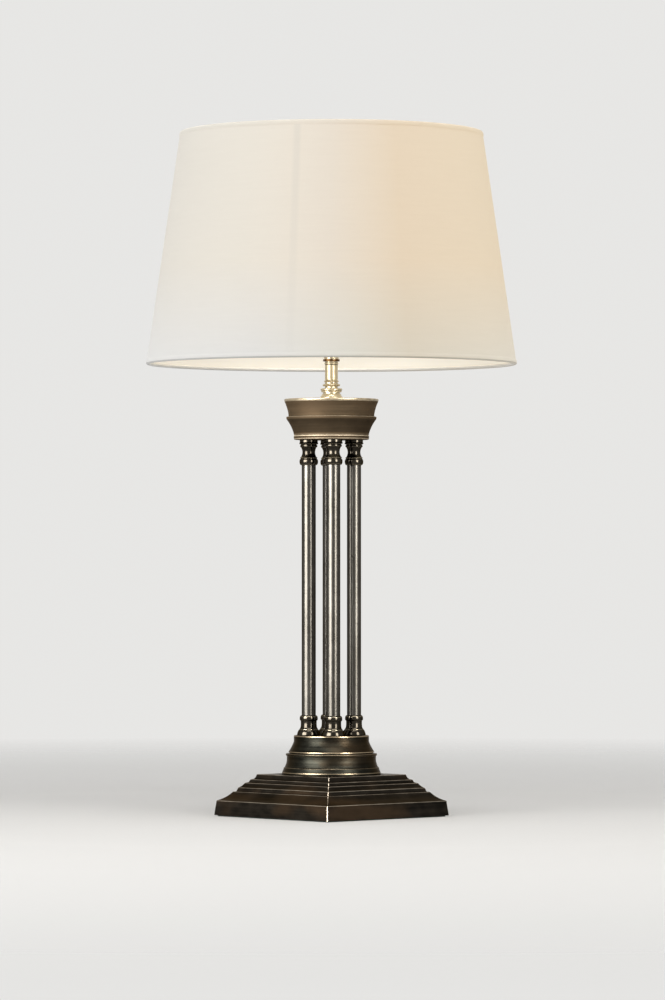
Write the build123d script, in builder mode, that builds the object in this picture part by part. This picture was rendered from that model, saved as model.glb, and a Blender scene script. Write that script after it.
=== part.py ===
from build123d import *
import os
from math import atan2, cos, degrees, pi, radians, sin, tan

# Column table lamp, in millimetres, +Z up.
# Origin: the middle of the felt underside, so the lamp stands on z = 0. The base's sides lie along X and Y,
# and its rear side, with the cord inlet, faces +Y.

# ---------------------------------------------------------------- driving dimensions

# Clearances
seat_gap = 0.05  # radial gap of pieces pushed or screwed together
hole_gap = 0.15  # radial gap round a pipe that passes through a hole
turn_gap = 0.08  # radial running gap of a piece that turns on another
loose_gap = 0.3  # gap beside a piece that lies in a recess

# Tie pipes: hollow threaded lamp pipe, one in each column
pipe_r = 5.0
pipe_bore_r = 3.5
pipe_stick_out = 1.4  # bare end beyond a nut
nut_flat_r = 7.0  # half the width across flats
nut_h = 4.0
washer_r = 9.0
washer_t = 1.5

# Columns
column_count = 4
column_ring_r = 24.9  # from the lamp's axis to a column's axis
column_ring_turn = 6.5  # degrees from the base's diagonals
tube_r = 7.75
tube_wall = 1.0
tube_show_h = 274.0  # tube seen between foot and capital
socket_h = 6.0  # tube held inside foot and capital

# Column foot: radii are steps out from the tube, heights are rises from one turning to the next
foot_torus_out = 5.05
foot_torus_h = 1.2
foot_ogee_out = 3.15
foot_ogee_h = 4.8
foot_step = 0.5
foot_step_h = 0.6
foot_cove_h = 3.6
foot_neck_out = 1.1
foot_neck_h = 6.0
foot_ring_out = 1.85
foot_ring_h = 4.3
foot_lip_out = 0.55
foot_lip_h = 1.4

# Column capital, from the tube upwards
capital_lip_h = 0.9
capital_bead_out = 1.8
capital_bead_h = 5.9
capital_bead_swell = 0.7
capital_groove_out = 1.2
capital_groove_h = 0.7
capital_fillet_h = 1.3
capital_bell_out = 0.9
capital_bell_h = 11.0
capital_bell_draw = 1.65  # how far the bell's waist is drawn in
capital_ring_out = 1.45
capital_ring_h = 2.4
capital_gap_h = 0.7
capital_disc_out = 2.15
capital_disc_h = 2.1
capital_disc_swell = 0.55
capital_abacus_h = 3.0

# Felt, bottom plate and its screws
felt_t = 1.2
felt_inset = 2.1
felt_corner_r = 3.0
plate_t = 2.0
plate_rim = 3.5  # base metal left outside the plate
plate_screw_inset = 12.0  # from the base's side to a screw
plate_screw_r = 1.75
plate_screw_head_r = 3.3
plate_screw_h = 10.0
lug_r = 7.0

# Stepped base: (inset, rise, hollow) of each moulding from the foot up, and the hollow is how far a
# cove lies inside its straight chord
base_face = (1.8, 15.8, 0.0)
base_bevel = (0.8, 0.5, 0.0)
base_cavetto = (12.0, 9.4, 1.1)
base_ledge_1 = (2.6, 0.3, 0.0)
base_riser_1 = (1.4, 4.1, 0.0)
base_cove = (5.2, 5.2, 0.6)
base_ledge_2 = (2.9, 0.8, 0.0)
base_riser_2 = (1.5, 3.0, 0.0)
base_ledge_3 = (2.7, 0.7, 0.0)
base_riser_3 = (2.3, 5.0, 0.35)
base_top_margin = 4.0  # flat left outside the lower drum
base_wall = 4.0
base_roof_t = 3.0

# Ballast, terminal block and earth screw, under the base's roof
ballast_t = 12.0
ballast_gap = 0.9
block_w = 24.0
block_d = 13.0
block_h = 13.0
block_front_y = 29.5
block_wire_pitch = 8.0
block_wire_r = 1.6
block_screw_r = 1.5
block_screw_head_r = 2.8
block_screw_head_h = 1.8
screw_bite = 7.0  # thread in the ballast
earth_screw_r = 2.0
earth_screw_head_r = 4.0
earth_screw_head_h = 2.6
earth_screw_x = 34.0
earth_screw_y = 36.0

# Cord inlet bush in the base's rear face
inlet_z = 8.9
inlet_bore_r = 3.3
inlet_barrel_r = 4.5
inlet_flange_r = 6.2
inlet_flange_t = 1.6
inlet_seat_depth = 0.8  # spot face under the flange
inlet_lip_r = 5.3
inlet_lip_t = 1.8

# Drums: radii are steps out from the band that carries the columns
drum_margin = 3.5  # band outside the column feet
drum_wall = 3.6
drum_plate_t = 4.0
drum_edge_r = 1.0

# Lower drum, from its mouth on the base up to its band
lower_mouth_out = 12.8
lower_mouth_h = 2.4
lower_fascia_out = 10.8
lower_fascia_h = 5.4
lower_flare_out = 10.2
lower_waist_out = 7.7
lower_flare_h = 7.6
lower_waist_h = 5.2
lower_lip_out = 8.6
lower_lip_h = 2.3
lower_groove_out = 4.8
lower_groove_h = 1.3
lower_arris_out = 5.8
lower_arris_h = 0.2
lower_cove_h = 11.9
lower_cove_hollow = 0.45
lower_band_h = 6.6

# Upper drum, from its mouth under the lid down to its band
upper_mouth_out = 10.4
upper_flare_h = 14.4
upper_flare_hollow = 0.55
upper_waist_out = 5.9
upper_waist_h = 2.6
upper_lip_out = 8.2
upper_lip_h = 1.9
upper_bevel_out = 7.7
upper_bevel_h = 1.3
upper_cove_h = 15.8
upper_cove_hollow = 0.9
upper_band_h = 6.2
upper_groove_up = 4.6  # fine groove round the band
upper_groove_w = 0.6
upper_groove_depth = 0.5

# Lid of the upper drum
lid_t = 2.4
lid_edge_r = 0.8
lid_spigot_h = 2.0
lid_spigot_w = 3.5

# Neck: radii are steps out from the neck's tube
neck_tube_out = 2.05  # wall of the neck outside its pipe
neck_foot_out = 5.05
neck_foot_h = 2.6
neck_ogee_out = 3.35
neck_ogee_h = 3.0
neck_groove_out = 2.3
neck_groove_h = 2.0
neck_ring_1_out = 4.15
neck_ring_1_h = 1.8
neck_ring_2_out = 4.85
neck_ring_2_h = 2.2
neck_ring_3_out = 2.6
neck_ring_3_h = 2.4
neck_ring_4_out = 1.1
neck_ring_4_h = 1.6
neck_gap_h = 2.3  # plain stretch between two rings
neck_tube_h = 17.9
neck_collar_out = 0.7
neck_collar_h = 3.4
neck_pipe_top = 6.4  # pipe screwed into the lampholder

# Lampholder for an E27 bulb
cap_washer_r = 9.2
cap_washer_t = 2.1
cap_boss_out = 3.0
cap_boss_h = 5.5
cap_dome_h = 8.0
cap_wall = 1.3
cap_rim_h = 6.5
skirt_wall = 1.2
skirt_h = 34.0  # threaded skirt above the shoulder
skirt_gap = 4.0  # between screw shell and skirt
skirt_lip_r = 15.2
shoulder_out = 3.8
shoulder_t = 2.0
spigot_out = 0.8
spigot_h = 1.2
core_flange_t = 2.5
core_boss_h = 9.0
contact_w = 5.0
contact_l = 14.0
contact_t = 0.6
contact_rise = 1.4
shell_wall = 0.8
shell_h = 24.0

# Bulb, size A60 with an E27 cap
bulb_cap_r = 13.2
bulb_cap_wall = 0.4
bulb_cap_h = 22.0
bulb_cap_cone_h = 1.6
bulb_cap_cone_in = 2.2
bulb_tip_r = 4.8
bulb_tip_h = 1.0
bulb_insulator_h = 1.4
bulb_r = 30.0
bulb_glass_t = 1.0
bulb_neck_r = 12.7
bulb_neck_sunk = 6.0  # glass inside the cap
bulb_neck_h = 5.0
bulb_h = 109.0  # from the tip to the top of the glass
bulb_cone_turn = 35.0  # degrees below the widest place, where cone and ball meet
bulb_stem_h = 22.0
bulb_stem_r = 3.0
filament_r = 11.0
filament_wire_r = 0.5
filament_rise = 12.0

# Shade clamp ring
clamp_ring_h = 6.5
clamp_ring_w = 7.2
clamp_flange_h = 2.0
clamp_step = 3.2

# Shade and its frame
shade_bottom_r = 202.9
shade_top_r = 166.1
shade_cloth_h = 251.9
shade_cloth_t = 0.8
shade_recess = 26.0  # hem below the fitter
wire_r = 1.6
hem_t = 0.5
hem_leg_out = 3.5
hem_leg_in = 1.0
hem_creases = 4  # the flats in which it goes round the wire
fitter_t = 1.5
fitter_w = 9.5
arm_count = 3
arm_turn = 136.95  # degrees, the arm that lies behind the neck in the usual view
arm_r = 1.6
arm_flat = 14.0  # level stretch outside the fitter
arm_bend_r = 12.0
arm_notch_gap = 0.2

# Internal flex
flex_r = 2.2
flex_lead_l = 12.5  # straight out of the terminal block
flex_low_z = 9.5  # where it crosses under the ballast
flex_turn_z = 7.2  # where it turns up into the last column's pipe


# ---------------------------------------------------------------- heights and radii that follow

base_mouldings = (
    base_face,
    base_bevel,
    base_cavetto,
    base_ledge_1,
    base_riser_1,
    base_cove,
    base_ledge_2,
    base_riser_2,
    base_ledge_3,
    base_riser_3,
)
base_h = sum(rise for inset, rise, hollow in base_mouldings)
foot_h = (
    foot_torus_h
    + foot_ogee_h
    + foot_step_h
    + foot_cove_h
    + foot_neck_h
    + foot_ring_h
    + foot_lip_h
)
capital_h = (
    capital_lip_h
    + capital_bead_h
    + capital_groove_h
    + capital_fillet_h
    + capital_bell_h
    + capital_ring_h
    + capital_gap_h
    + capital_disc_h
    + capital_abacus_h
)
lower_drum_h = (
    lower_mouth_h
    + lower_fascia_h
    + lower_flare_h
    + lower_waist_h
    + lower_lip_h
    + lower_groove_h
    + lower_arris_h
    + lower_cove_h
    + lower_band_h
)
upper_drum_h = (
    upper_flare_h
    + upper_waist_h
    + upper_lip_h
    + upper_bevel_h
    + upper_cove_h
    + upper_band_h
)
neck_h = (
    neck_foot_h
    + neck_ogee_h
    + neck_groove_h
    + neck_ring_1_h
    + neck_ring_2_h
    + neck_ring_3_h
    + neck_ring_4_h
    + 2 * neck_gap_h
    + neck_tube_h
    + neck_collar_h
)

base_z = felt_t
base_top_z = base_z + base_h
roof_z = base_top_z - base_roof_t
ballast_z = roof_z - ballast_t
foot_z = base_top_z + lower_drum_h
tube_z = foot_z + foot_h
capital_z = tube_z + tube_show_h
upper_drum_z = capital_z + capital_h
drum_floor_z = upper_drum_z + drum_plate_t
lid_z = upper_drum_z + upper_drum_h
neck_z = lid_z + lid_t
cap_washer_z = neck_z + neck_h
cap_z = cap_washer_z + cap_washer_t
ledge_z = cap_z + cap_boss_h + cap_dome_h  # ledge in the cap, where the core sits
shoulder_z = ledge_z + cap_rim_h
fitter_z = shoulder_z + shoulder_t
core_top_z = ledge_z + core_flange_t + core_boss_h
bulb_z = core_top_z + contact_t + contact_rise
shade_z = fitter_z - shade_recess  # lower edge of the cloth

pipe_foot_z = ballast_z - washer_t - nut_h - pipe_stick_out
pipe_head_z = drum_floor_z + washer_t + nut_h + pipe_stick_out
neck_pipe_foot_z = lid_z - washer_t - nut_h - pipe_stick_out

foot_torus_r = tube_r + foot_torus_out
drum_band_r = column_ring_r + foot_torus_r + drum_margin
lower_mouth_r = drum_band_r + lower_mouth_out
upper_mouth_r = drum_band_r + upper_mouth_out
drum_cavity_r = drum_band_r - drum_wall
base_half = lower_mouth_r + base_top_margin + sum(inset for inset, rise, hollow in base_mouldings)

neck_r = pipe_r + neck_tube_out
shell_bore_r = bulb_cap_r + turn_gap
skirt_bore_r = shell_bore_r + shell_wall + skirt_gap
skirt_r = skirt_bore_r + skirt_wall
spigot_r = skirt_r + spigot_out
shoulder_r = skirt_r + shoulder_out
fitter_bore_r = spigot_r + turn_gap
fitter_r = fitter_bore_r + fitter_w

column_angles = [
    -45 + column_ring_turn + 360 / column_count * number for number in range(column_count)
]
column_spots = [
    Vector(column_ring_r * cos(radians(angle)), column_ring_r * sin(radians(angle)))
    for angle in column_angles
]


# ---------------------------------------------------------------- shared ways of making

def upright(z, spot=Vector(0, 0)):
    """Upright sketch plane over a spot of the ground plan: local x is the radius, local y the height."""
    return Plane(origin=(spot.X, spot.Y, z), x_dir=(1, 0, 0), z_dir=(0, -1, 0))


def upright_axis(spot=Vector(0, 0)):
    return Axis((spot.X, spot.Y, 0), (0, 0, 1))


def turn_profile(first_r, *turnings):
    """One side of a turned piece, from its foot up to its axis again.

    Each turning gives a radius, the rise to it, and how far its arc swells out of the straight line.
    """
    here = (first_r, 0)
    Line((0, 0), here)
    for radius, rise, swell in turnings:
        there = (radius, here[1] + rise)
        if swell:
            SagittaArc(here, there, -swell)
        else:
            Line(here, there)
        here = there
    Polyline(here, (0, here[1]), (0, 0))


def save(name, piece):
    piece.part.label = name
    export_step(piece.part, f"parts/{name}.step")


os.makedirs("parts", exist_ok=True)


# ---------------------------------------------------------------- felt pad and bottom plate

plate_half = base_half - plate_rim - loose_gap
plate_screw_at = base_half - plate_screw_inset

with BuildPart() as felt_pad:
    with BuildSketch() as felt_outline:
        RectangleRounded(2 * (base_half - felt_inset), 2 * (base_half - felt_inset), felt_corner_r)
    extrude(amount=felt_t)
save("felt_pad", felt_pad)

with BuildPart() as bottom_plate:
    with BuildSketch(Plane.XY.offset(base_z)) as plate_outline:
        Rectangle(2 * plate_half, 2 * plate_half)
    extrude(amount=plate_t)
    with Locations(Plane.XY.offset(base_z)):
        with GridLocations(2 * plate_screw_at, 2 * plate_screw_at, 2, 2):
            Cylinder(
                plate_screw_r + seat_gap,
                plate_t,
                align=(Align.CENTER, Align.CENTER, Align.MIN),
                mode=Mode.SUBTRACT,
            )
            Cone(
                plate_screw_head_r + seat_gap,
                plate_screw_r + seat_gap,
                plate_screw_head_r - plate_screw_r,
                align=(Align.CENTER, Align.CENTER, Align.MIN),
                mode=Mode.SUBTRACT,
            )
save("bottom_plate", bottom_plate)

with BuildPart() as bottom_plate_screws:
    with Locations(Plane.XY.offset(base_z)):
        with GridLocations(2 * plate_screw_at, 2 * plate_screw_at, 2, 2):
            Cylinder(plate_screw_r, plate_screw_h, align=(Align.CENTER, Align.CENTER, Align.MIN))
            Cone(
                plate_screw_head_r,
                plate_screw_r,
                plate_screw_head_r - plate_screw_r,
                align=(Align.CENTER, Align.CENTER, Align.MIN),
            )
save("bottom_plate_screws", bottom_plate_screws)


# ---------------------------------------------------------------- stepped base

def base_outline():
    """Both sides of the base's moulded section, standing on its foot."""
    half, height = base_half, 0
    Line((0, 0), (half, 0))
    for inset, rise, hollow in base_mouldings:
        start, end = (half, height), (half - inset, height + rise)
        if hollow:
            SagittaArc(start, end, hollow)
        else:
            Line(start, end)
        half, height = end
    Line((half, height), (0, height))
    mirror(about=Plane.YZ)


def cavity_outline():
    """The same section drawn in by the wall and the roof, with straight lines under its coves."""
    half, height = base_half - base_face[0] - base_bevel[0], base_face[1] + base_bevel[1]
    points = [(half - base_wall, 0), (half - base_wall, height - base_roof_t)]
    for inset, rise, hollow in base_mouldings[2:]:
        half, height = half - inset, height + rise
        points.append((half - base_wall, height - base_roof_t))
    Polyline((0, 0), *points, (0, base_h - base_roof_t))
    mirror(about=Plane.YZ)


along_x = Plane(origin=(0, 0, base_z), x_dir=(0, 1, 0), z_dir=(1, 0, 0))

with BuildPart() as base_cavity:
    with BuildSketch(upright(base_z)):
        with BuildLine():
            cavity_outline()
        make_face()
    extrude(amount=base_half, both=True)
    with BuildSketch(along_x):
        with BuildLine():
            cavity_outline()
        make_face()
    extrude(amount=base_half, both=True, mode=Mode.INTERSECT)
    # The screw lugs in the four corners stay solid.
    with Locations(Plane.XY.offset(base_z)):
        with GridLocations(2 * plate_screw_at, 2 * plate_screw_at, 2, 2):
            Cylinder(lug_r, base_h, align=(Align.CENTER, Align.CENTER, Align.MIN), mode=Mode.SUBTRACT)

inlet_face_y = base_half - base_face[0] * (inlet_z - base_z) / base_face[1] - inlet_seat_depth
inlet_back_y = base_half - base_face[0] - base_bevel[0] - base_wall
inlet_barrel_l = inlet_face_y - inlet_back_y
to_the_rear = Plane(origin=(0, 0, inlet_z), x_dir=(-1, 0, 0), z_dir=(0, 1, 0))

with BuildPart() as stepped_base:
    # Two lengths of the moulding crossed at right angles leave the mitred corners.
    with BuildSketch(upright(base_z)):
        with BuildLine():
            base_outline()
        make_face()
    extrude(amount=base_half, both=True)
    with BuildSketch(along_x):
        with BuildLine():
            base_outline()
        make_face()
    extrude(amount=base_half, both=True, mode=Mode.INTERSECT)
    add(base_cavity.part, mode=Mode.SUBTRACT)
    with BuildSketch(Plane.XY.offset(base_z)) as plate_recess:
        Rectangle(2 * (base_half - plate_rim), 2 * (base_half - plate_rim))
    extrude(amount=plate_t, mode=Mode.SUBTRACT)
    with BuildSketch(Plane.XY.offset(base_z)) as screw_holes:
        with GridLocations(2 * plate_screw_at, 2 * plate_screw_at, 2, 2):
            Circle(plate_screw_r + seat_gap)
    extrude(amount=plate_screw_h + 1, mode=Mode.SUBTRACT)
    with BuildSketch(Plane.XY.offset(base_top_z)) as pipe_holes:
        with PolarLocations(column_ring_r, column_count, start_angle=column_angles[0]):
            Circle(pipe_r + hole_gap)
    extrude(amount=-base_roof_t, mode=Mode.SUBTRACT)
    with BuildSketch(to_the_rear.offset(inlet_face_y)) as flange_seat:
        Circle(inlet_flange_r + loose_gap)
    extrude(amount=base_wall, mode=Mode.SUBTRACT)
    with BuildSketch(to_the_rear.offset(inlet_back_y)) as inlet_hole:
        Circle(inlet_barrel_r + seat_gap)
    extrude(amount=inlet_barrel_l, mode=Mode.SUBTRACT)
save("stepped_base", stepped_base)


# ---------------------------------------------------------------- ballast, terminal block, earth screw

roof_half = lower_mouth_r + base_top_margin - base_wall
block_y = block_front_y + block_d / 2

with BuildPart() as ballast_weight:
    with BuildSketch(Plane.XY.offset(ballast_z)) as ballast_outline:
        Rectangle(2 * (roof_half - ballast_gap), 2 * (roof_half - ballast_gap))
        with PolarLocations(column_ring_r, column_count, start_angle=column_angles[0]):
            Circle(pipe_r + hole_gap, mode=Mode.SUBTRACT)
    extrude(amount=ballast_t)
    with BuildSketch(Plane.XY.offset(ballast_z)) as tapped_holes:
        with Locations((block_wire_pitch / 2, block_y)):
            Circle(block_screw_r + seat_gap)
        with Locations((earth_screw_x, earth_screw_y)):
            Circle(earth_screw_r + seat_gap)
    extrude(amount=screw_bite + 1, mode=Mode.SUBTRACT)
save("ballast_weight", ballast_weight)

with BuildPart() as terminal_block:
    with BuildSketch(Plane.XY.offset(ballast_z - block_h)) as block_outline:
        with Locations((0, block_y)):
            Rectangle(block_w, block_d)
        with Locations((block_wire_pitch / 2, block_y)):
            Circle(block_screw_r + seat_gap, mode=Mode.SUBTRACT)
    extrude(amount=block_h)
    chamfer(terminal_block.edges().filter_by(Axis.Z).group_by(Axis.X)[0], 1)
    with BuildSketch(Plane.XZ.offset(-block_front_y)) as wire_ways:
        with Locations((0, ballast_z - block_h / 2)):
            with GridLocations(2 * block_wire_pitch, 1, 2, 1):
                Circle(block_wire_r)
    extrude(amount=-block_d, mode=Mode.SUBTRACT)
save("terminal_block", terminal_block)

with BuildPart() as terminal_screw:
    with BuildSketch(Plane.XY.offset(ballast_z - block_h)) as terminal_screw_shank:
        with Locations((block_wire_pitch / 2, block_y)):
            Circle(block_screw_r)
    extrude(amount=block_h + screw_bite)
    with BuildSketch(Plane.XY.offset(ballast_z - block_h)) as terminal_screw_head:
        with Locations((block_wire_pitch / 2, block_y)):
            Circle(block_screw_head_r)
    extrude(amount=-block_screw_head_h)
save("terminal_screw", terminal_screw)

with BuildPart() as earth_screw:
    with BuildSketch(Plane.XY.offset(ballast_z)) as earth_screw_shank:
        with Locations((earth_screw_x, earth_screw_y)):
            Circle(earth_screw_r)
    extrude(amount=screw_bite)
    with BuildSketch(Plane.XY.offset(ballast_z)) as earth_screw_head:
        with Locations((earth_screw_x, earth_screw_y)):
            Circle(earth_screw_head_r)
    extrude(amount=-earth_screw_head_h)
save("earth_screw", earth_screw)


# ---------------------------------------------------------------- cord inlet bush

with BuildPart() as cord_inlet_bush:
    with BuildSketch(to_the_rear.offset(inlet_back_y)) as bush_barrel:
        Circle(inlet_barrel_r)
    extrude(amount=inlet_barrel_l)
    with BuildSketch(to_the_rear.offset(inlet_back_y)) as bush_lip:
        Circle(inlet_lip_r)
    extrude(amount=-inlet_lip_t)
    with BuildSketch(to_the_rear.offset(inlet_face_y)) as bush_flange:
        Circle(inlet_flange_r)
    extrude(amount=inlet_flange_t)
    fillet(cord_inlet_bush.edges().group_by(Axis.Y)[-1], inlet_flange_t / 3)
    with BuildSketch(to_the_rear.offset(inlet_back_y - inlet_lip_t)) as bush_bore:
        Circle(inlet_bore_r)
    extrude(amount=inlet_lip_t + inlet_barrel_l + inlet_flange_t, mode=Mode.SUBTRACT)
save("cord_inlet_bush", cord_inlet_bush)


# ---------------------------------------------------------------- drums

# The corner between a drum's band and its flat end is rounded by an arc of this swell.
drum_edge_swell = drum_edge_r * (1 - 0.5**0.5)

with BuildPart() as lower_drum:
    with BuildSketch(upright(base_top_z)) as lower_drum_side:
        with BuildLine():
            turn_profile(
                lower_mouth_r,
                (lower_mouth_r, lower_mouth_h, 0.15),
                (drum_band_r + lower_fascia_out, lower_fascia_h, -0.15),
                (drum_band_r + lower_flare_out, 0, 0),
                (drum_band_r + lower_waist_out, lower_flare_h, -0.35),
                (drum_band_r + lower_waist_out, lower_waist_h, 0),
                (drum_band_r + lower_lip_out, 0, 0),
                (drum_band_r + lower_lip_out, lower_lip_h, 0.2),
                (drum_band_r + lower_groove_out, 0, 0),
                (drum_band_r + lower_groove_out, lower_groove_h, 0),
                (drum_band_r + lower_arris_out, 0, 0),
                (drum_band_r + lower_arris_out, lower_arris_h, 0),
                (drum_band_r, lower_cove_h, -lower_cove_hollow),
                (drum_band_r, lower_band_h - drum_edge_r, 0),
                (drum_band_r - drum_edge_r, drum_edge_r, drum_edge_swell),
            )
        make_face()
    revolve(axis=Axis.Z)
    with BuildSketch(Plane.XY.offset(base_top_z)) as lower_drum_cavity:
        Circle(drum_cavity_r)
    extrude(amount=lower_drum_h - drum_plate_t, mode=Mode.SUBTRACT)
    with BuildSketch(Plane.XY.offset(foot_z)) as lower_drum_holes:
        with PolarLocations(column_ring_r, column_count, start_angle=column_angles[0]):
            Circle(pipe_r + hole_gap)
    extrude(amount=-drum_plate_t, mode=Mode.SUBTRACT)
save("lower_drum", lower_drum)

# The upper drum is turned upside down, so its sketch plane hangs from the lid.
hanging = Plane(origin=(0, 0, lid_z), x_dir=(1, 0, 0), z_dir=(0, 1, 0))

with BuildPart() as upper_drum:
    with BuildSketch(hanging) as upper_drum_side:
        with BuildLine():
            turn_profile(
                upper_mouth_r,
                (drum_band_r + upper_waist_out, upper_flare_h, -upper_flare_hollow),
                (drum_band_r + upper_waist_out, upper_waist_h, 0),
                (drum_band_r + upper_lip_out, 0, 0),
                (drum_band_r + upper_lip_out, upper_lip_h, 0.15),
                (drum_band_r + upper_bevel_out, upper_bevel_h, 0),
                (drum_band_r, upper_cove_h, -upper_cove_hollow),
                (drum_band_r, upper_band_h - drum_edge_r, 0.2),
                (drum_band_r - drum_edge_r, drum_edge_r, drum_edge_swell),
            )
        make_face()
    revolve(axis=Axis.Z)
    with BuildSketch(Plane.XY.offset(lid_z)) as upper_drum_cavity:
        Circle(drum_cavity_r)
    extrude(amount=drum_plate_t - upper_drum_h, mode=Mode.SUBTRACT)
    with BuildSketch(Plane.XY.offset(upper_drum_z)) as upper_drum_holes:
        with PolarLocations(column_ring_r, column_count, start_angle=column_angles[0]):
            Circle(pipe_r + hole_gap)
    extrude(amount=drum_plate_t, mode=Mode.SUBTRACT)
    with BuildSketch(Plane.XY.offset(upper_drum_z + upper_groove_up)) as band_groove:
        Circle(drum_band_r + drum_margin)
        Circle(drum_band_r - upper_groove_depth, mode=Mode.SUBTRACT)
    extrude(amount=upper_groove_w, mode=Mode.SUBTRACT)
save("upper_drum", upper_drum)

with BuildPart() as upper_drum_lid:
    with BuildSketch(Plane.XY.offset(lid_z)) as lid_outline:
        Circle(upper_mouth_r)
    extrude(amount=lid_t)
    fillet(upper_drum_lid.edges().group_by(Axis.Z)[-1], lid_edge_r)
    with BuildSketch(Plane.XY.offset(lid_z)) as lid_spigot:
        Circle(drum_cavity_r - seat_gap)
        Circle(drum_cavity_r - lid_spigot_w, mode=Mode.SUBTRACT)
    extrude(amount=-lid_spigot_h)
    with BuildSketch(Plane.XY.offset(lid_z)) as lid_hole:
        Circle(pipe_r + hole_gap)
    extrude(amount=lid_t, mode=Mode.SUBTRACT)
save("upper_drum_lid", upper_drum_lid)


# ---------------------------------------------------------------- columns and tie pipes

foot_neck_r = tube_r + foot_neck_out
foot_ring_r = tube_r + foot_ring_out
foot_ogee_r = tube_r + foot_ogee_out
foot_lip_r = tube_r + foot_lip_out
capital_ring_r = tube_r + capital_ring_out
capital_bell_r = tube_r + capital_bell_out
capital_groove_r = tube_r + capital_groove_out
capital_bead_r = tube_r + capital_bead_out
capital_disc_r = tube_r + capital_disc_out
socket_r = tube_r + seat_gap

for number, spot in enumerate(column_spots, start=1):
    with BuildPart() as column_foot:
        with BuildSketch(upright(foot_z, spot)) as foot_side:
            with BuildLine():
                turn_profile(
                    foot_torus_r,
                    (foot_torus_r, foot_torus_h, 0),
                    (foot_ogee_r, foot_ogee_h, 0.3),
                    (foot_ogee_r - foot_step, 0, 0),
                    (foot_ogee_r - foot_step, foot_step_h, 0),
                    (foot_neck_r, foot_cove_h, -0.4),
                    (foot_neck_r, foot_neck_h, -0.15),
                    (foot_ring_r, 0, 0),
                    (foot_ring_r, foot_ring_h, 0.35),
                    (foot_lip_r, foot_lip_h, 0),
                )
            make_face()
        revolve(axis=upright_axis(spot))
        with BuildSketch(Plane.XY.offset(foot_z)) as foot_bore:
            with Locations(spot):
                Circle(pipe_r + hole_gap)
        extrude(amount=foot_h, mode=Mode.SUBTRACT)
        with BuildSketch(Plane.XY.offset(tube_z)) as foot_socket:
            with Locations(spot):
                Circle(socket_r)
        extrude(amount=-socket_h, mode=Mode.SUBTRACT)
    save(f"column_foot_{number}", column_foot)

    with BuildPart() as column_tube:
        with BuildSketch(Plane.XY.offset(tube_z - socket_h)) as tube_section:
            with Locations(spot):
                Circle(tube_r)
                Circle(tube_r - tube_wall, mode=Mode.SUBTRACT)
        extrude(amount=tube_show_h + 2 * socket_h)
    save(f"column_tube_{number}", column_tube)

    with BuildPart() as column_capital:
        with BuildSketch(upright(capital_z, spot)) as capital_side:
            with BuildLine():
                turn_profile(
                    foot_lip_r,
                    (capital_bead_r, capital_lip_h, 0),
                    (capital_bead_r, capital_bead_h, capital_bead_swell),
                    (capital_groove_r, 0, 0),
                    (capital_groove_r, capital_groove_h, 0),
                    (capital_ring_r, 0, 0),
                    (capital_ring_r, capital_fillet_h, 0.3),
                    (capital_bell_r, 0, 0),
                    (capital_bell_r, capital_bell_h, -capital_bell_draw),
                    (capital_ring_r, 0, 0),
                    (capital_ring_r, capital_ring_h, 0.35),
                    (capital_bell_r, 0, 0),
                    (capital_bell_r, capital_gap_h, 0),
                    (capital_disc_r, 0, 0),
                    (capital_disc_r, capital_disc_h, capital_disc_swell),
                    (capital_disc_r, capital_abacus_h, 0),
                )
            make_face()
        revolve(axis=upright_axis(spot))
        with BuildSketch(Plane.XY.offset(capital_z)) as capital_bore:
            with Locations(spot):
                Circle(pipe_r + hole_gap)
        extrude(amount=capital_h, mode=Mode.SUBTRACT)
        with BuildSketch(Plane.XY.offset(capital_z)) as capital_socket:
            with Locations(spot):
                Circle(socket_r)
        extrude(amount=socket_h, mode=Mode.SUBTRACT)
    save(f"column_capital_{number}", column_capital)

    with BuildPart() as tie_pipe:
        with BuildSketch(Plane.XY.offset(pipe_foot_z)) as pipe_section:
            with Locations(spot):
                Circle(pipe_r)
                Circle(pipe_bore_r, mode=Mode.SUBTRACT)
        extrude(amount=pipe_head_z - pipe_foot_z)
    save(f"tie_pipe_{number}", tie_pipe)


def make_washers(name, z, spots):
    with BuildPart() as washers:
        with BuildSketch(Plane.XY.offset(z)):
            with Locations(*spots):
                Circle(washer_r)
                Circle(pipe_r + hole_gap, mode=Mode.SUBTRACT)
        extrude(amount=washer_t)
    save(name, washers)


def make_nuts(name, z, spots):
    with BuildPart() as nuts:
        with BuildSketch(Plane.XY.offset(z)):
            with Locations(*spots):
                RegularPolygon(nut_flat_r, 6, major_radius=False)
                Circle(pipe_r + seat_gap, mode=Mode.SUBTRACT)
        extrude(amount=nut_h)
    save(name, nuts)


make_washers("lower_tie_washers", ballast_z - washer_t, column_spots)
make_nuts("lower_tie_nuts", ballast_z - washer_t - nut_h, column_spots)
make_washers("upper_tie_washers", drum_floor_z, column_spots)
make_nuts("upper_tie_nuts", drum_floor_z + washer_t, column_spots)


# ---------------------------------------------------------------- neck

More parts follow.
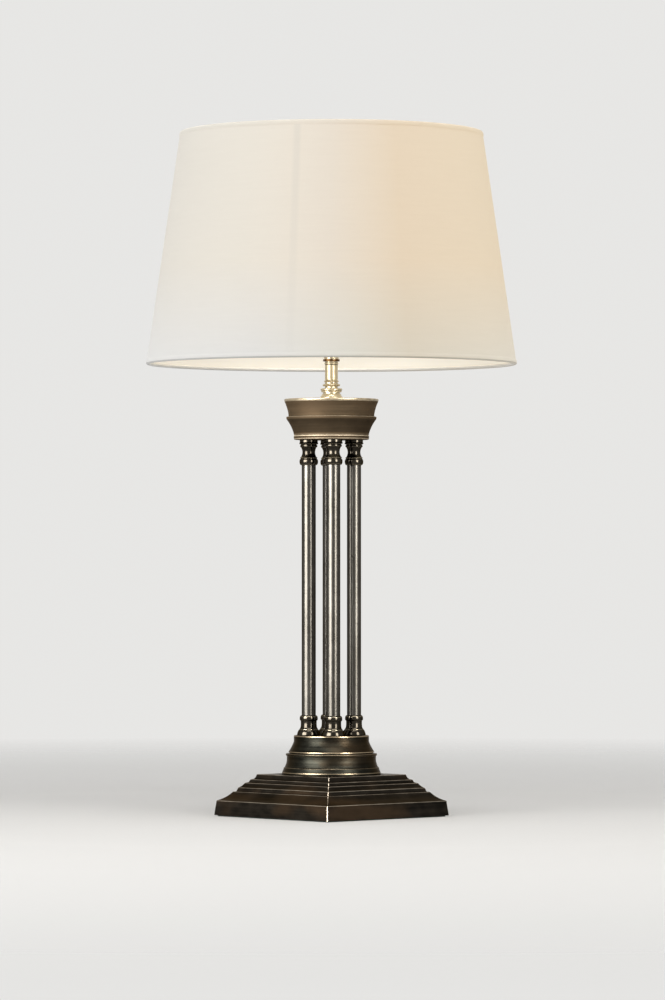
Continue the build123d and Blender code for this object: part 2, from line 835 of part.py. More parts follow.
with BuildPart() as neck:
    with BuildSketch(upright(neck_z)) as neck_side:
        with BuildLine():
            turn_profile(
                neck_r + neck_foot_out,
                (neck_r + neck_foot_out, neck_foot_h, 0.2),
                (neck_r + neck_ogee_out, neck_ogee_h, -0.4),
                (neck_r + neck_groove_out, 0, 0),
                (neck_r + neck_groove_out, neck_groove_h, 0),
                (neck_r + neck_ring_1_out, 0, 0),
                (neck_r + neck_ring_1_out - 0.3, neck_ring_1_h, 0.3),
                (neck_r + neck_ring_2_out - 0.3, 0, 0),
                (neck_r + neck_ring_2_out - 0.3, neck_ring_2_h, 0.4),
                (neck_r, 0.4, 0),
                (neck_r, neck_gap_h - 0.4, 0),
                (neck_r + neck_ring_3_out - 0.4, 0.4, 0),
                (neck_r + neck_ring_3_out - 0.4, neck_ring_3_h - 0.4, 0.4),
                (neck_r, 0.4, 0),
                (neck_r, neck_gap_h - 0.4, 0),
                (neck_r + neck_ring_4_out - 0.3, 0, 0),
                (neck_r + neck_ring_4_out - 0.3, neck_ring_4_h, 0.3),
                (neck_r + 0.3, 0, 0),
                (neck_r, 1.2, -0.1),
                (neck_r, neck_tube_h - 1.2, 0),
                (neck_r + neck_collar_out - 0.3, 0, 0),
                (neck_r + neck_collar_out - 0.3, neck_collar_h / 2, 0.3),
                (neck_r, 0, 0),
                (neck_r, neck_collar_h / 2, 0.2),
            )
        make_face()
    revolve(axis=Axis.Z)
    with BuildSketch(Plane.XY.offset(neck_z)) as neck_bore:
        Circle(pipe_r + hole_gap)
    extrude(amount=neck_h, mode=Mode.SUBTRACT)
save("neck", neck)

axis_spot = [Vector(0, 0)]

with BuildPart() as neck_pipe:
    with BuildSketch(Plane.XY.offset(neck_pipe_foot_z)) as neck_pipe_section:
        Circle(pipe_r)
        Circle(pipe_bore_r, mode=Mode.SUBTRACT)
    extrude(amount=cap_z + neck_pipe_top - neck_pipe_foot_z)
save("neck_pipe", neck_pipe)

make_washers("neck_washer", lid_z - washer_t, axis_spot)
make_nuts("neck_nut", lid_z - washer_t - nut_h, axis_spot)


# ---------------------------------------------------------------- lampholder

cap_boss_r = pipe_r + cap_boss_out
cap_rim_r = skirt_r + seat_gap + cap_wall

with BuildPart() as holder_washer:
    with BuildSketch(Plane.XY.offset(cap_washer_z)) as holder_washer_section:
        Circle(cap_washer_r)
        Circle(pipe_r + hole_gap, mode=Mode.SUBTRACT)
    extrude(amount=cap_washer_t)
save("holder_washer", holder_washer)

with BuildPart() as holder_cap:
    with BuildSketch(upright(cap_z)) as cap_side:
        with BuildLine():
            turn_profile(
                cap_boss_r,
                (cap_boss_r, cap_boss_h, 0),
                (cap_rim_r, cap_dome_h, 2.2),
                (cap_rim_r, cap_rim_h, 0),
            )
        make_face()
    revolve(axis=Axis.Z)
    with BuildSketch(Plane.XY.offset(shoulder_z)) as cap_mouth:
        Circle(skirt_r + seat_gap)
    extrude(amount=-cap_rim_h, mode=Mode.SUBTRACT)
    with BuildSketch(upright(cap_z)) as cap_cavity:
        with BuildLine():
            cavity_foot = cap_boss_h + 2 * cap_wall
            cavity_top_r = skirt_r - 2 * cap_wall
            cavity_foot_point = (cap_boss_r - cap_wall, cavity_foot)
            cavity_top_point = (cavity_top_r, cap_boss_h + cap_dome_h)
            Line((0, cavity_foot), cavity_foot_point)
            SagittaArc(cavity_foot_point, cavity_top_point, -1)
            Polyline(cavity_top_point, (0, cap_boss_h + cap_dome_h), (0, cavity_foot))
        make_face()
    revolve(axis=Axis.Z, mode=Mode.SUBTRACT)
    with BuildSketch(Plane.XY.offset(cap_z)) as cap_bore:
        Circle(pipe_r + seat_gap)
    extrude(amount=cavity_foot, mode=Mode.SUBTRACT)
save("holder_cap", holder_cap)

core_boss_r = shell_bore_r + shell_wall

with BuildPart() as holder_core:
    with BuildSketch(Plane.XY.offset(ledge_z)) as core_flange:
        Circle(skirt_r - seat_gap)
    extrude(amount=core_flange_t)
    with BuildSketch(Plane.XY.offset(ledge_z + core_flange_t)) as core_boss:
        Circle(core_boss_r)
    extrude(amount=core_boss_h)
    fillet(holder_core.edges().group_by(Axis.Z)[-1], shell_wall)
save("holder_core", holder_core)

with BuildPart() as centre_contact:
    # A sprung strip: bowed up in the middle, where the bulb's tip presses on it.
    with BuildSketch(Plane.XZ.offset(-contact_w / 2)) as contact_side:
        with BuildLine():
            strip_foot_l = (-contact_l / 2, core_top_z)
            strip_foot_r = (contact_l / 2, core_top_z)
            strip_bend_l = (-contact_l / 2, core_top_z + contact_t)
            strip_bend_r = (contact_l / 2, core_top_z + contact_t)
            Line(strip_foot_r, strip_bend_r)
            ThreePointArc(strip_bend_r, (0, bulb_z), strip_bend_l)
            Line(strip_bend_l, strip_foot_l)
            ThreePointArc(strip_foot_l, (0, bulb_z - contact_t), strip_foot_r)
        make_face()
    extrude(amount=contact_w)
save("centre_contact", centre_contact)

with BuildPart() as screw_shell:
    with BuildSketch(Plane.XY.offset(core_top_z)) as shell_section:
        Circle(shell_bore_r + shell_wall)
        Circle(shell_bore_r, mode=Mode.SUBTRACT)
    extrude(amount=shell_h)
save("screw_shell", screw_shell)

skirt_foot_z = ledge_z + core_flange_t
skirt_top_z = fitter_z + skirt_h

with BuildPart() as holder_skirt:
    with BuildSketch(upright(skirt_foot_z)) as skirt_side:
        with BuildLine():
            turn_profile(
                skirt_r,
                (skirt_r, shoulder_z - skirt_foot_z, 0),
                (shoulder_r, 0, 0),
                (shoulder_r, shoulder_t, 0),
                (spigot_r, 0, 0),
                (spigot_r, spigot_h, 0),
                (skirt_r, 0, 0),
                (skirt_r, skirt_h - spigot_h - skirt_wall, 0),
                (skirt_r - skirt_wall, skirt_wall, skirt_wall * (1 - 0.5**0.5)),
            )
        make_face()
    revolve(axis=Axis.Z)
    with BuildSketch(Plane.XY.offset(skirt_foot_z)) as skirt_bore:
        Circle(skirt_bore_r)
    extrude(amount=skirt_top_z - skirt_foot_z - skirt_wall, mode=Mode.SUBTRACT)
    with BuildSketch(Plane.XY.offset(skirt_top_z)) as skirt_mouth:
        Circle(skirt_lip_r)
    extrude(amount=-skirt_wall, mode=Mode.SUBTRACT)
save("holder_skirt", holder_skirt)


# ---------------------------------------------------------------- shade clamp ring

clamp_bore_r = skirt_r + turn_gap
clamp_r = clamp_bore_r + clamp_ring_w

with BuildPart() as shade_clamp_ring:
    with BuildSketch(upright(fitter_z + fitter_t)) as clamp_side:
        with BuildLine():
            turn_profile(
                clamp_r,
                (clamp_r, clamp_flange_h, 0),
                (clamp_r - clamp_step, 0, 0),
                (clamp_r - clamp_step, clamp_ring_h - clamp_flange_h, 0),
            )
        make_face()
    revolve(axis=Axis.Z)
    with BuildSketch(Plane.XY.offset(fitter_z + fitter_t)) as clamp_bore:
        Circle(clamp_bore_r)
    extrude(amount=clamp_ring_h, mode=Mode.SUBTRACT)
save("shade_clamp_ring", shade_clamp_ring)


# ---------------------------------------------------------------- bulb

bulb_cap_z = bulb_z + bulb_tip_h + bulb_insulator_h
bulb_cap_foot_r = bulb_cap_r - bulb_cap_cone_in
bulb_cap_top_z = bulb_cap_z + bulb_cap_cone_h + bulb_cap_h

with BuildPart() as bulb_cap:
    with BuildSketch(upright(bulb_cap_z)) as bulb_cap_side:
        with BuildLine():
            turn_profile(
                bulb_cap_foot_r,
                (bulb_cap_r, bulb_cap_cone_h, 0),
                (bulb_cap_r, bulb_cap_h, 0),
            )
        make_face()
        with BuildLine():
            Polyline(
                (0, 0),
                (bulb_cap_foot_r - bulb_cap_wall, 0),
                (bulb_cap_r - bulb_cap_wall, bulb_cap_cone_h),
                (bulb_cap_r - bulb_cap_wall, bulb_cap_cone_h + bulb_cap_h),
                (0, bulb_cap_cone_h + bulb_cap_h),
                close=True,
            )
        make_face(mode=Mode.SUBTRACT)
    revolve(axis=Axis.Z)
save("bulb_cap", bulb_cap)

with BuildPart() as bulb_insulator:
    with BuildSketch(upright(bulb_z + bulb_tip_h)) as insulator_side:
        with BuildLine():
            turn_profile(bulb_tip_r, (bulb_cap_foot_r - bulb_cap_wall, bulb_insulator_h, 0.4))
        make_face()
    revolve(axis=Axis.Z)
save("bulb_insulator", bulb_insulator)

with BuildPart() as bulb_tip_contact:
    with BuildSketch(upright(bulb_z)) as tip_side:
        with BuildLine():
            turn_profile(bulb_tip_r / 2, (bulb_tip_r, bulb_tip_h, 0.3))
        make_face()
    revolve(axis=Axis.Z)
save("bulb_tip_contact", bulb_tip_contact)


def bulb_side(inset):
    """Half outline of the glass, drawn in by an inset: neck, cone and ball."""
    neck_foot = (bulb_neck_r - inset, bulb_cap_top_z - bulb_neck_sunk)
    neck_top = (bulb_neck_r - inset, bulb_cap_top_z + bulb_neck_h)
    ball_r = bulb_r - inset
    ball_z = bulb_z + bulb_h - bulb_r
    turn = radians(bulb_cone_turn)
    cone_top = (ball_r * cos(turn), ball_z - ball_r * sin(turn))
    Polyline((0, ball_z + ball_r), (0, neck_foot[1]), neck_foot, neck_top)
    TangentArc(cone_top, neck_top, tangent=(-sin(turn), -cos(turn)))
    ThreePointArc(cone_top, (ball_r, ball_z), (0, ball_z + ball_r))


with BuildPart() as bulb_glass:
    with BuildSketch(upright(0)) as glass_outside:
        with BuildLine():
            bulb_side(0)
        make_face()
    revolve(axis=Axis.Z)
    with BuildSketch(upright(0)) as glass_inside:
        with BuildLine():
            bulb_side(bulb_glass_t)
        make_face()
    revolve(axis=Axis.Z, mode=Mode.SUBTRACT)
save("bulb_glass", bulb_glass)

stem_foot_z = bulb_cap_top_z - bulb_neck_sunk
stem_top_z = stem_foot_z + bulb_stem_h
stem_foot_r = bulb_neck_r - bulb_glass_t - seat_gap

with BuildPart() as bulb_stem:
    with BuildSketch(upright(stem_foot_z)) as stem_side:
        with BuildLine():
            turn_profile(
                stem_foot_r,
                (stem_foot_r, 1, 0),
                (bulb_stem_r, bulb_stem_h / 2, -1.5),
                (bulb_stem_r, bulb_stem_h / 2 - 1, 0),
            )
        make_face()
    revolve(axis=Axis.Z)
save("bulb_stem", bulb_stem)

with BuildPart() as bulb_filament:
    # Two leads up from the stem and the filament bent in a horseshoe between their ends.
    with BuildLine() as filament_line:
        lead_foot_l = (-bulb_stem_r / 2, 0, stem_top_z)
        lead_foot_r = (bulb_stem_r / 2, 0, stem_top_z)
        lead_top_l = (-filament_r, 0, stem_top_z + filament_rise)
        lead_top_r = (filament_r, 0, stem_top_z + filament_rise)
        Line(lead_foot_l, lead_top_l)
        ThreePointArc(lead_top_l, (0, 0, stem_top_z + filament_rise + filament_r), lead_top_r)
        Line(lead_top_r, lead_foot_r)
    with BuildSketch(Plane(origin=lead_foot_l, z_dir=filament_line.line % 0)) as filament_section:
        Circle(filament_wire_r)
    sweep(path=filament_line.line, transition=Transition.ROUND)
    with BuildSketch(Plane.XY.offset(stem_top_z)) as stem_end:
        Rectangle(4 * filament_r, 4 * filament_r)
    extrude(amount=-bulb_stem_h, mode=Mode.SUBTRACT)
save("bulb_filament", bulb_filament)


# ---------------------------------------------------------------- shade

# The wall plane lies in the cloth's outer face: local x points out of the shade, local y up the slope.
shade_lean = atan2(shade_bottom_r - shade_top_r, shade_cloth_h)
shade_slope_l = shade_cloth_h / cos(shade_lean)
shade_wall_plane = Plane(
    origin=(shade_bottom_r, 0, shade_z),
    x_dir=(cos(shade_lean), 0, sin(shade_lean)),
    z_dir=(0, -1, 0),
)
channel_w = seat_gap + shade_cloth_t + hole_gap + 2 * wire_r + hole_gap
channel_r = channel_w / 2
wire_x = seat_gap - channel_w + hole_gap + wire_r
roll_y = (channel_r**2 - (channel_r - seat_gap) ** 2) ** 0.5  # the cloth's edge just enters the bend
wire_spot = shade_wall_plane.from_local_coords(Vector(wire_x, roll_y))

with BuildPart() as shade_fabric:
    with BuildSketch(shade_wall_plane) as cloth_section:
        with Locations((-shade_cloth_t / 2, shade_slope_l / 2)):
            Rectangle(shade_cloth_t, shade_slope_l)
    revolve(axis=Axis.Z)
save("shade_fabric", shade_fabric)

# One third of the spider: level beside the fitter, then down to the bottom wire ring.
arm_z = fitter_z - arm_r
arm_foot_x = shoulder_r + 2 * arm_r
arm_plane = Plane(
    origin=(0, 0, 0),
    x_dir=(cos(radians(arm_turn)), sin(radians(arm_turn)), 0),
    z_dir=(sin(radians(arm_turn)), -cos(radians(arm_turn)), 0),
)


def arm_solid(radius):
    """A single arm, of a given thickness, turned into place behind the neck."""
    with BuildPart() as arm:
        with BuildLine(arm_plane) as arm_line:
            FilletPolyline(
                (arm_foot_x, arm_z),
                (fitter_r + arm_flat, arm_z),
                (wire_spot.X, wire_spot.Z),
                radius=arm_bend_r,
            )
        with BuildSketch(Plane(origin=arm_line.line @ 0, z_dir=arm_line.line % 0)):
            Circle(radius)
        sweep(path=arm_line.line)
    return arm.part


with BuildPart() as shade_bottom_ring:
    with BuildSketch(shade_wall_plane) as bottom_wire_section:
        with Locations((wire_x, roll_y)):
            Circle(wire_r)
    revolve(axis=Axis.Z)
save("shade_bottom_ring", shade_bottom_ring)

with BuildPart() as shade_top_ring:
    with BuildSketch(shade_wall_plane) as top_wire_section:
        with Locations((wire_x, shade_slope_l - roll_y)):
            Circle(wire_r)
    revolve(axis=Axis.Z)
save("shade_top_ring", shade_top_ring)

with BuildPart() as fitter_ring:
    with BuildSketch(Plane.XY.offset(fitter_z)) as fitter_section:
        Circle(fitter_r)
        Circle(fitter_bore_r, mode=Mode.SUBTRACT)
    extrude(amount=fitter_t)
save("fitter_ring", fitter_ring)

arm = arm_solid(arm_r)
arm_notch = arm_solid(arm_r + arm_notch_gap)

with BuildPart() as fitter_arms:
    with PolarLocations(0, arm_count):
        add(arm)
    # Each arm is coped to the wire ring that it is welded to.
    add(shade_bottom_ring.part, mode=Mode.SUBTRACT)
save("fitter_arms", fitter_arms)


def hem_section(edge_y, up):
    """The rolled hem round cloth edge and wire: a hairpin whose bend is at edge_y and legs run up or down."""
    middle_x = seat_gap - channel_r
    outer_r = channel_r + hem_t
    half_crease = 90 / hem_creases
    for radius in (outer_r, channel_r):
        out_x = middle_x + radius
        in_x = middle_x - radius
        Line((out_x, edge_y + up * hem_leg_out), (out_x, edge_y))
        corner_r = radius / cos(radians(half_crease))
        corner_turns = [radians(half_crease * (2 * crease + 1)) for crease in range(hem_creases)]
        Polyline(
            (out_x, edge_y),
            *((middle_x + corner_r * cos(turn), edge_y - up * corner_r * sin(turn)) for turn in corner_turns),
            (in_x, edge_y),
        )
        Line((in_x, edge_y), (in_x, edge_y + up * hem_leg_in))
    for side, leg in ((1, hem_leg_out), (-1, hem_leg_in)):
        leg_y = edge_y + up * leg
        Line((middle_x + side * outer_r, leg_y), (middle_x + side * channel_r, leg_y))


with BuildPart() as shade_bottom_hem:
    with BuildSketch(shade_wall_plane) as bottom_hem_section:
        with BuildLine():
            hem_section(roll_y, 1)
        make_face()
    revolve(axis=Axis.Z)
    with PolarLocations(0, arm_count):
        add(arm_notch, mode=Mode.SUBTRACT)
save("shade_bottom_hem", shade_bottom_hem)

with BuildPart() as shade_top_hem:
    with BuildSketch(shade_wall_plane) as top_hem_section:
        with BuildLine():
            hem_section(shade_slope_l - roll_y, -1)
        make_face()
    revolve(axis=Axis.Z)
save("shade_top_hem", shade_top_hem)


# ---------------------------------------------------------------- internal flex

flex_spot = column_spots[-1]
bend_z = (pipe_head_z + neck_pipe_foot_z) / 2
flex_route = (
    Vector(0, block_front_y, ballast_z - block_h / 2),
    Vector(0, block_front_y - flex_lead_l, ballast_z - block_h / 2),
    Vector(flex_spot.X * 0.45, -1, flex_low_z),
    Vector(flex_spot.X, flex_spot.Y, flex_turn_z),
    Vector(flex_spot.X, flex_spot.Y, bend_z),
    Vector(0, 0, bend_z),
    Vector(0, 0, ledge_z),
)
drum_bend_r = min(column_ring_r, neck_pipe_foot_z - pipe_head_z) / 2 - 0.3
flex_radii = (20, 18, 13.8, drum_bend_r, drum_bend_r)

with BuildPart() as internal_flex:
    with BuildLine() as flex_line:
        FilletPolyline(*flex_route, radius=flex_radii)
    with BuildSketch(Plane(origin=flex_line.line @ 0, z_dir=flex_line.line % 0)) as flex_section:
        Circle(flex_r)
    sweep(path=flex_line.line)
save("internal_flex", internal_flex)

flex_l = flex_line.wires()[0].length
print("internal flex: length", round(flex_l, 1), "radii", [round(radius, 1) for radius in flex_radii])
print("  swept volume over section times length:", round(internal_flex.part.volume / (pi * flex_r**2 * flex_l), 4))
print("overall height", round(shade_z + shade_cloth_h, 2), "base half", round(base_half, 2))
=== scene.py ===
from math import atan2, ceil, cos, hypot, pi, radians, sin

import bpy
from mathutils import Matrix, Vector, noise


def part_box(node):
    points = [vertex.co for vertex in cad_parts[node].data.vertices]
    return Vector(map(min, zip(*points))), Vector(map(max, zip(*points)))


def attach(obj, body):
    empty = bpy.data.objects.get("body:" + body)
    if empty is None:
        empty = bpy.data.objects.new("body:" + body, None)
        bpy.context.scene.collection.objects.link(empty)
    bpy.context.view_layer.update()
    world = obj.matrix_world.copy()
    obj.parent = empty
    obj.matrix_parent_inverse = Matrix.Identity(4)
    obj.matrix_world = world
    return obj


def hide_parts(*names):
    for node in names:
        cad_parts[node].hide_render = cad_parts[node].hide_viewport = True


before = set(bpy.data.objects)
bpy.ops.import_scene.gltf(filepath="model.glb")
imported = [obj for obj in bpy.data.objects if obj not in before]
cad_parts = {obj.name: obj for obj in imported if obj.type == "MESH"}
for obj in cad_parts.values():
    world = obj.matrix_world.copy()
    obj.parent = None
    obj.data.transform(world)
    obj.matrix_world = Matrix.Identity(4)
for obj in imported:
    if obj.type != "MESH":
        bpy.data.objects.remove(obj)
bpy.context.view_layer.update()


# ---------------------------------------------------------------- felt pad
# A square of dark green wool felt, 1.2 mm thick, glued under the bottom plate so that the lamp stands softly.
# Its edge is set in from the base's, and shows as a dark line.


class Field:
    """A number, colour or vector that changes over a surface: one output of a shader node.

    Arithmetic on numbers adds Math nodes, and node() adds any other node.
    """

    def __init__(self, tree, socket=None):
        self.tree, self.socket = tree, socket

    def node(self, kind, settings=None, inputs=None, output=0):
        made = self.tree.nodes.new(kind)
        for name, value in (settings or {}).items():
            if name == "stops":
                ramp = made.color_ramp.elements
                while len(ramp) < len(value):
                    ramp.new(1)
                for element, (position, colour) in zip(ramp, value):
                    element.position, element.color = position, (*colour, 1)
            else:
                setattr(made, name, value)
        for name, value in (inputs or {}).items():
            if isinstance(value, Field):
                self.tree.links.new(value.socket, made.inputs[name])
            else:
                made.inputs[name].default_value = value
        return Field(self.tree, made.outputs[output])

    def maths(self, operation, first, second=0.0):
        return self.node("ShaderNodeMath", {"operation": operation}, {0: first, 1: second})

    def __add__(self, other):
        return self.maths("ADD", self, other)

    __radd__ = __add__

    def __sub__(self, other):
        return self.maths("SUBTRACT", self, other)

    def __rsub__(self, other):
        return self.maths("SUBTRACT", other, self)

    def __mul__(self, other):
        return self.maths("MULTIPLY", self, other)

    __rmul__ = __mul__

    def clip(self, low, high):
        """0 below low, 1 above high, and even between them."""
        return self.node("ShaderNodeMapRange", {}, {0: self, 1: low, 2: high})

    def blend(self, first, second):
        """The first colour where this number is 0 and the second where it is 1."""
        colours = {0: self}
        for place, colour in ((6, first), (7, second)):
            colours[place] = colour if isinstance(colour, Field) else (*colour, 1)
        return self.node("ShaderNodeMix", {"data_type": "RGBA"}, colours, 2)

    def stretch(self, x, y, z):
        """This point in other units, so many to the metre along each axis."""
        return self.node("ShaderNodeVectorMath", {"operation": "MULTIPLY"}, {0: self, 1: (x, y, z)})

    def cloud(self, detail=2.0, roughness=0.5):
        """Soft noise about 0.5, one blot to the unit."""
        inputs = {"Vector": self, "Scale": 1.0, "Detail": detail, "Roughness": roughness}
        return self.node("ShaderNodeTexNoise", {}, inputs)

    def bump(self, height_m):
        """The surface raised by this number, times a height in metres."""
        return self.node("ShaderNodeBump", {}, {"Height": self, "Strength": 1.0, "Distance": height_m})

    def attribute(self, name):
        """The number of that name which the mesh holds at each of its corners."""
        return self.node("ShaderNodeAttribute", {"attribute_name": name}, output="Fac")


def finish(name, paint, **even):
    """A material. paint(point) gives what varies over the surface, and even what is the same all over."""
    made = bpy.data.materials.new(name)
    made.use_nodes = True
    tree = made.node_tree
    shader = tree.nodes["Principled BSDF"]
    for words, value in even.items():
        shader.inputs[words.replace("_", " ").title().replace("Ior", "IOR")].default_value = value
    point = Field(tree).node("ShaderNodeTexCoord", output="Object")
    for words, field in paint(point).items():
        tree.links.new(field.socket, shader.inputs[words.replace("_", " ").title()])
    return made


def dress(material, *nodes):
    """Gives pieces that keep their own solid a finish."""
    for node in nodes:
        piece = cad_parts[node]
        piece.data.materials.clear()
        piece.data.materials.append(material)


def felt_paint(point):
    fibres = point.stretch(900, 900, 300).cloud(4, 0.7)
    return {
        "base_color": fibres.clip(0.3, 0.7).blend((0.012, 0.024, 0.016), (0.034, 0.058, 0.040)),
        "normal": fibres.bump(0.0004),
    }


dress(finish("wool_felt", felt_paint, roughness=0.95), "felt_pad")


# ---------------------------------------------------------------- bottom plate and hidden hardware
# Zinc plated sheet steel, set into the foot of the base with four countersunk screws. The same plating is on
# the screws, and on the tie pipes, washers and nuts that clamp base, drums and columns together.


def zinc_paint(point):
    spangle = point.stretch(260, 260, 260).cloud(3, 0.6)
    return {
        "base_color": spangle.clip(0.35, 0.65).blend((0.44, 0.45, 0.45), (0.62, 0.62, 0.60)),
        "roughness": spangle * 0.25 + 0.25,
    }


dress(
    finish("zinc_plate", zinc_paint, metallic=1.0),
    "bottom_plate",
    "bottom_plate_screws",
    *(f"tie_pipe_{number}" for number in range(1, 5)),
    "lower_tie_washers",
    "lower_tie_nuts",
    "upper_tie_washers",
    "upper_tie_nuts",
    "neck_pipe",
    "neck_washer",
    "neck_nut",
)


# ---------------------------------------------------------------- ballast and wiring
# Inside the base are a cast iron ballast weight, a nylon terminal block with its brass screw, and a brass earth
# screw. A sheathed flex runs from the block up one tie pipe to the lampholder.


def brass_screw_paint(point):
    tarnish = point.stretch(500, 500, 500).cloud(2, 0.5)
    return {
        "base_color": tarnish.clip(0.3, 0.7).blend((0.66, 0.50, 0.22), (0.80, 0.64, 0.32)),
        "roughness": tarnish * 0.2 + 0.2,
    }


dress(finish("screw_brass", brass_screw_paint, metallic=1.0), "terminal_screw", "earth_screw")


def iron_paint(point):
    sand = point.stretch(420, 420, 420).cloud(5, 0.65)
    return {
        "base_color": sand.clip(0.3, 0.7).blend((0.020, 0.019, 0.018), (0.060, 0.056, 0.052)),
        "roughness": sand * 0.3 + 0.5,
        "normal": sand.bump(0.0006),
    }


dress(finish("cast_iron", iron_paint, metallic=0.6), "ballast_weight")


def block_paint(point):
    shade = point.stretch(120, 120, 120).cloud()
    return {"base_color": shade.blend((0.66, 0.65, 0.61), (0.78, 0.77, 0.73))}


dress(finish("terminal_nylon", block_paint, roughness=0.45), "terminal_block")


def sheath_paint(point):
    shade = point.stretch(200, 200, 60).cloud()
    return {"base_color": shade.blend((0.10, 0.055, 0.025), (0.15, 0.09, 0.045))}


dress(finish("flex_sheath", sheath_paint, roughness=0.4), "internal_flex")


# ---------------------------------------------------------------- cord inlet bush
# A black rubber grommet in the rear face of the base, low down and in the middle. Its bore is empty, for a
# mains cord.


def rubber_paint(point):
    bloom = point.stretch(600, 600, 600).cloud(3, 0.6)
    return {
        "base_color": bloom.clip(0.3, 0.7).blend((0.012, 0.012, 0.012), (0.030, 0.029, 0.028)),
        "roughness": bloom * 0.3 + 0.45,
    }


dress(finish("black_rubber", rubber_paint), "cord_inlet_bush")


# ---------------------------------------------------------------- stepped base
# One square brass casting with a mitred moulding on its four sides, patinated almost black, and painted pale
# along its arrises as wear and as a painted highlight. It stands 1.2 mm up, on the felt.


# How a section is drawn, in millimetres and radians: an arc's steps, the least turn that counts as a corner,
# how much of a line a corner may cut off, and how far and how much wear and painted light reach beside it.
ARC_STEP = 1.2
CORNER_TURN = 0.3
CUT_SHARE = 0.4
SHOULDER = 0.4
SHOULDER_WEAR_AND_LIGHT = 0.4


def rounded(members, first, radius):
    """A moulding's section as (out, up, marking) points in millimetres, with its corners rounded by radius.

    Each member gives where it ends, how far it rises, how far its arc swells out and, if it is marked all over,
    how much. The marking is 1 at a corner that sticks out, painted pale both as metal that hands and cloths
    polish and as a painted highlight, and -1 in a hollow one, painted dark both as dirt and as painted shade.
    """
    line, joints, rubbed_and_lit = [first], [0], [0.0]
    for out, rise, swell, *worn_and_lit in members:
        start = line[-1]
        run = out - start[0]
        chord = hypot(run, rise)
        steps = max(2, ceil(chord / ARC_STEP)) if swell else 1
        for step in range(1, steps + 1):
            share = step / steps
            bulge = 4 * swell * share * (1 - share) / chord
            line.append((start[0] + share * run + bulge * rise, start[1] + share * rise - bulge * run))
            rubbed_and_lit.append(sum(worn_and_lit))
        joints.append(len(line) - 1)
    points = [(*line[0], 0.0)]
    for place in range(1, len(line) - 1):
        before, here, after = (Vector(line[place + step]) for step in (-1, 0, 1))
        turn = (here - before).angle_signed(after - here, 0)
        if place not in joints or abs(turn) < CORNER_TURN:
            points.append((*here, rubbed_and_lit[place]))
            continue
        arriving, leaving = (here - before).length, (after - here).length
        near = min(radius, CUT_SHARE * arriving, CUT_SHARE * leaving)
        far = near + SHOULDER
        start, end = here.lerp(before, near / arriving), here.lerp(after, near / leaving)
        edge, stronger = (1.0, max) if turn < 0 else (-1.0, min)
        if arriving > 3 * far:
            points.append((*here.lerp(before, far / arriving), rubbed_and_lit[place]))
        points.append((*start, stronger(edge * SHOULDER_WEAR_AND_LIGHT, rubbed_and_lit[place])))
        points.append((*start.lerp(end, 0.5).lerp(here, 0.4), edge))
        points.append((*end, stronger(edge * SHOULDER_WEAR_AND_LIGHT, rubbed_and_lit[place + 1])))
        if leaving > 3 * far:
            points.append((*here.lerp(after, far / leaving), rubbed_and_lit[place + 1]))
    points.append((*line[-1], 0.0))
    return points


def ring_faces(rows, steps, closed=False):
    """The faces between rings of corners with so many steps each. Closed, the last ring meets the first."""
    return [
        (
            row * steps + step,
            row * steps + (step + 1) % steps,
            (row + 1) % rows * steps + (step + 1) % steps,
            (row + 1) % rows * steps + step,
        )
        for row in range(rows if closed else rows - 1)
        for step in range(steps)
    ]


def add_piece(name, material, body, corners, faces, wear=None, nodes=()):
    """A new piece from corners in metres. wear gives each corner's painted wear, highlight and shade, and nodes
    are what it stands for.
    """
    mesh = bpy.data.meshes.new(name)
    mesh.from_pydata(corners, [], faces)
    mesh.validate()
    mesh.materials.append(material)
    if wear:
        mesh.attributes.new("wear", "FLOAT", "POINT").data.foreach_set("value", wear)
    mesh.polygons.foreach_set("use_smooth", [True] * len(mesh.polygons))
    mesh.set_sharp_from_angle(angle=radians(40))
    piece = bpy.data.objects.new(name, mesh)
    bpy.context.scene.collection.objects.link(piece)
    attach(piece, body)
    if nodes:
        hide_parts(*nodes)
    return piece


def bronze_worn_and_lit(name, dark, brown, edge, streak_rows, rough, patches):
    """Patinated bronze, brushed level: streaks along its rows, patches of a second brown, edges painted pale as
    wear and highlight, and hollows painted dark as dirt and shade.
    """

    def paint(point):
        rows = point.stretch(7, 7, streak_rows).cloud(3, 0.6)
        blots = point.stretch(70, 70, 110).cloud(4, 0.6)
        patch = point.stretch(16, 16, 34).cloud(2, 0.5).clip(0.48, 0.66)
        patina = (rows * 0.6 + blots * 0.4).clip(0.36, 0.66).blend(dark, brown)
        wear = Field(point.tree).attribute("wear")
        # Arrises are painted pale, as wear and as a painted highlight.
        rubbed_and_lit = (wear.clip(0.2, 1.0) * (blots * 0.9 + patch * 0.3 + 0.3)).clip(0.0, 1.0)
        # Hollows and shaded faces are painted near black, as dirt and as painted shade.
        hollow_dirt_and_shade = (0 - wear).clip(0.2, 1.0) * 0.7
        worn_and_lit = rubbed_and_lit.blend((patch * 0.75).blend(patina, patches), edge)
        return {
            "base_color": hollow_dirt_and_shade.blend(worn_and_lit, (0.005, 0.004, 0.003)),
            "roughness": rough + blots * 0.20 - rubbed_and_lit * 0.10,
            "normal": (rows * 0.7 + blots * 0.3).bump(0.00018),
        }

    return finish(name, paint, metallic=1.0, specular_tint=(0.6, 0.55, 0.5, 1))


base_bronze = bronze_worn_and_lit(
    "base_bronze",
    dark=(0.0068, 0.0062, 0.0052),
    brown=(0.0212, 0.0176, 0.0138),
    edge=(0.56, 0.48, 0.38),
    streak_rows=420,
    rough=0.22,
    patches=(0.042, 0.027, 0.016),
)

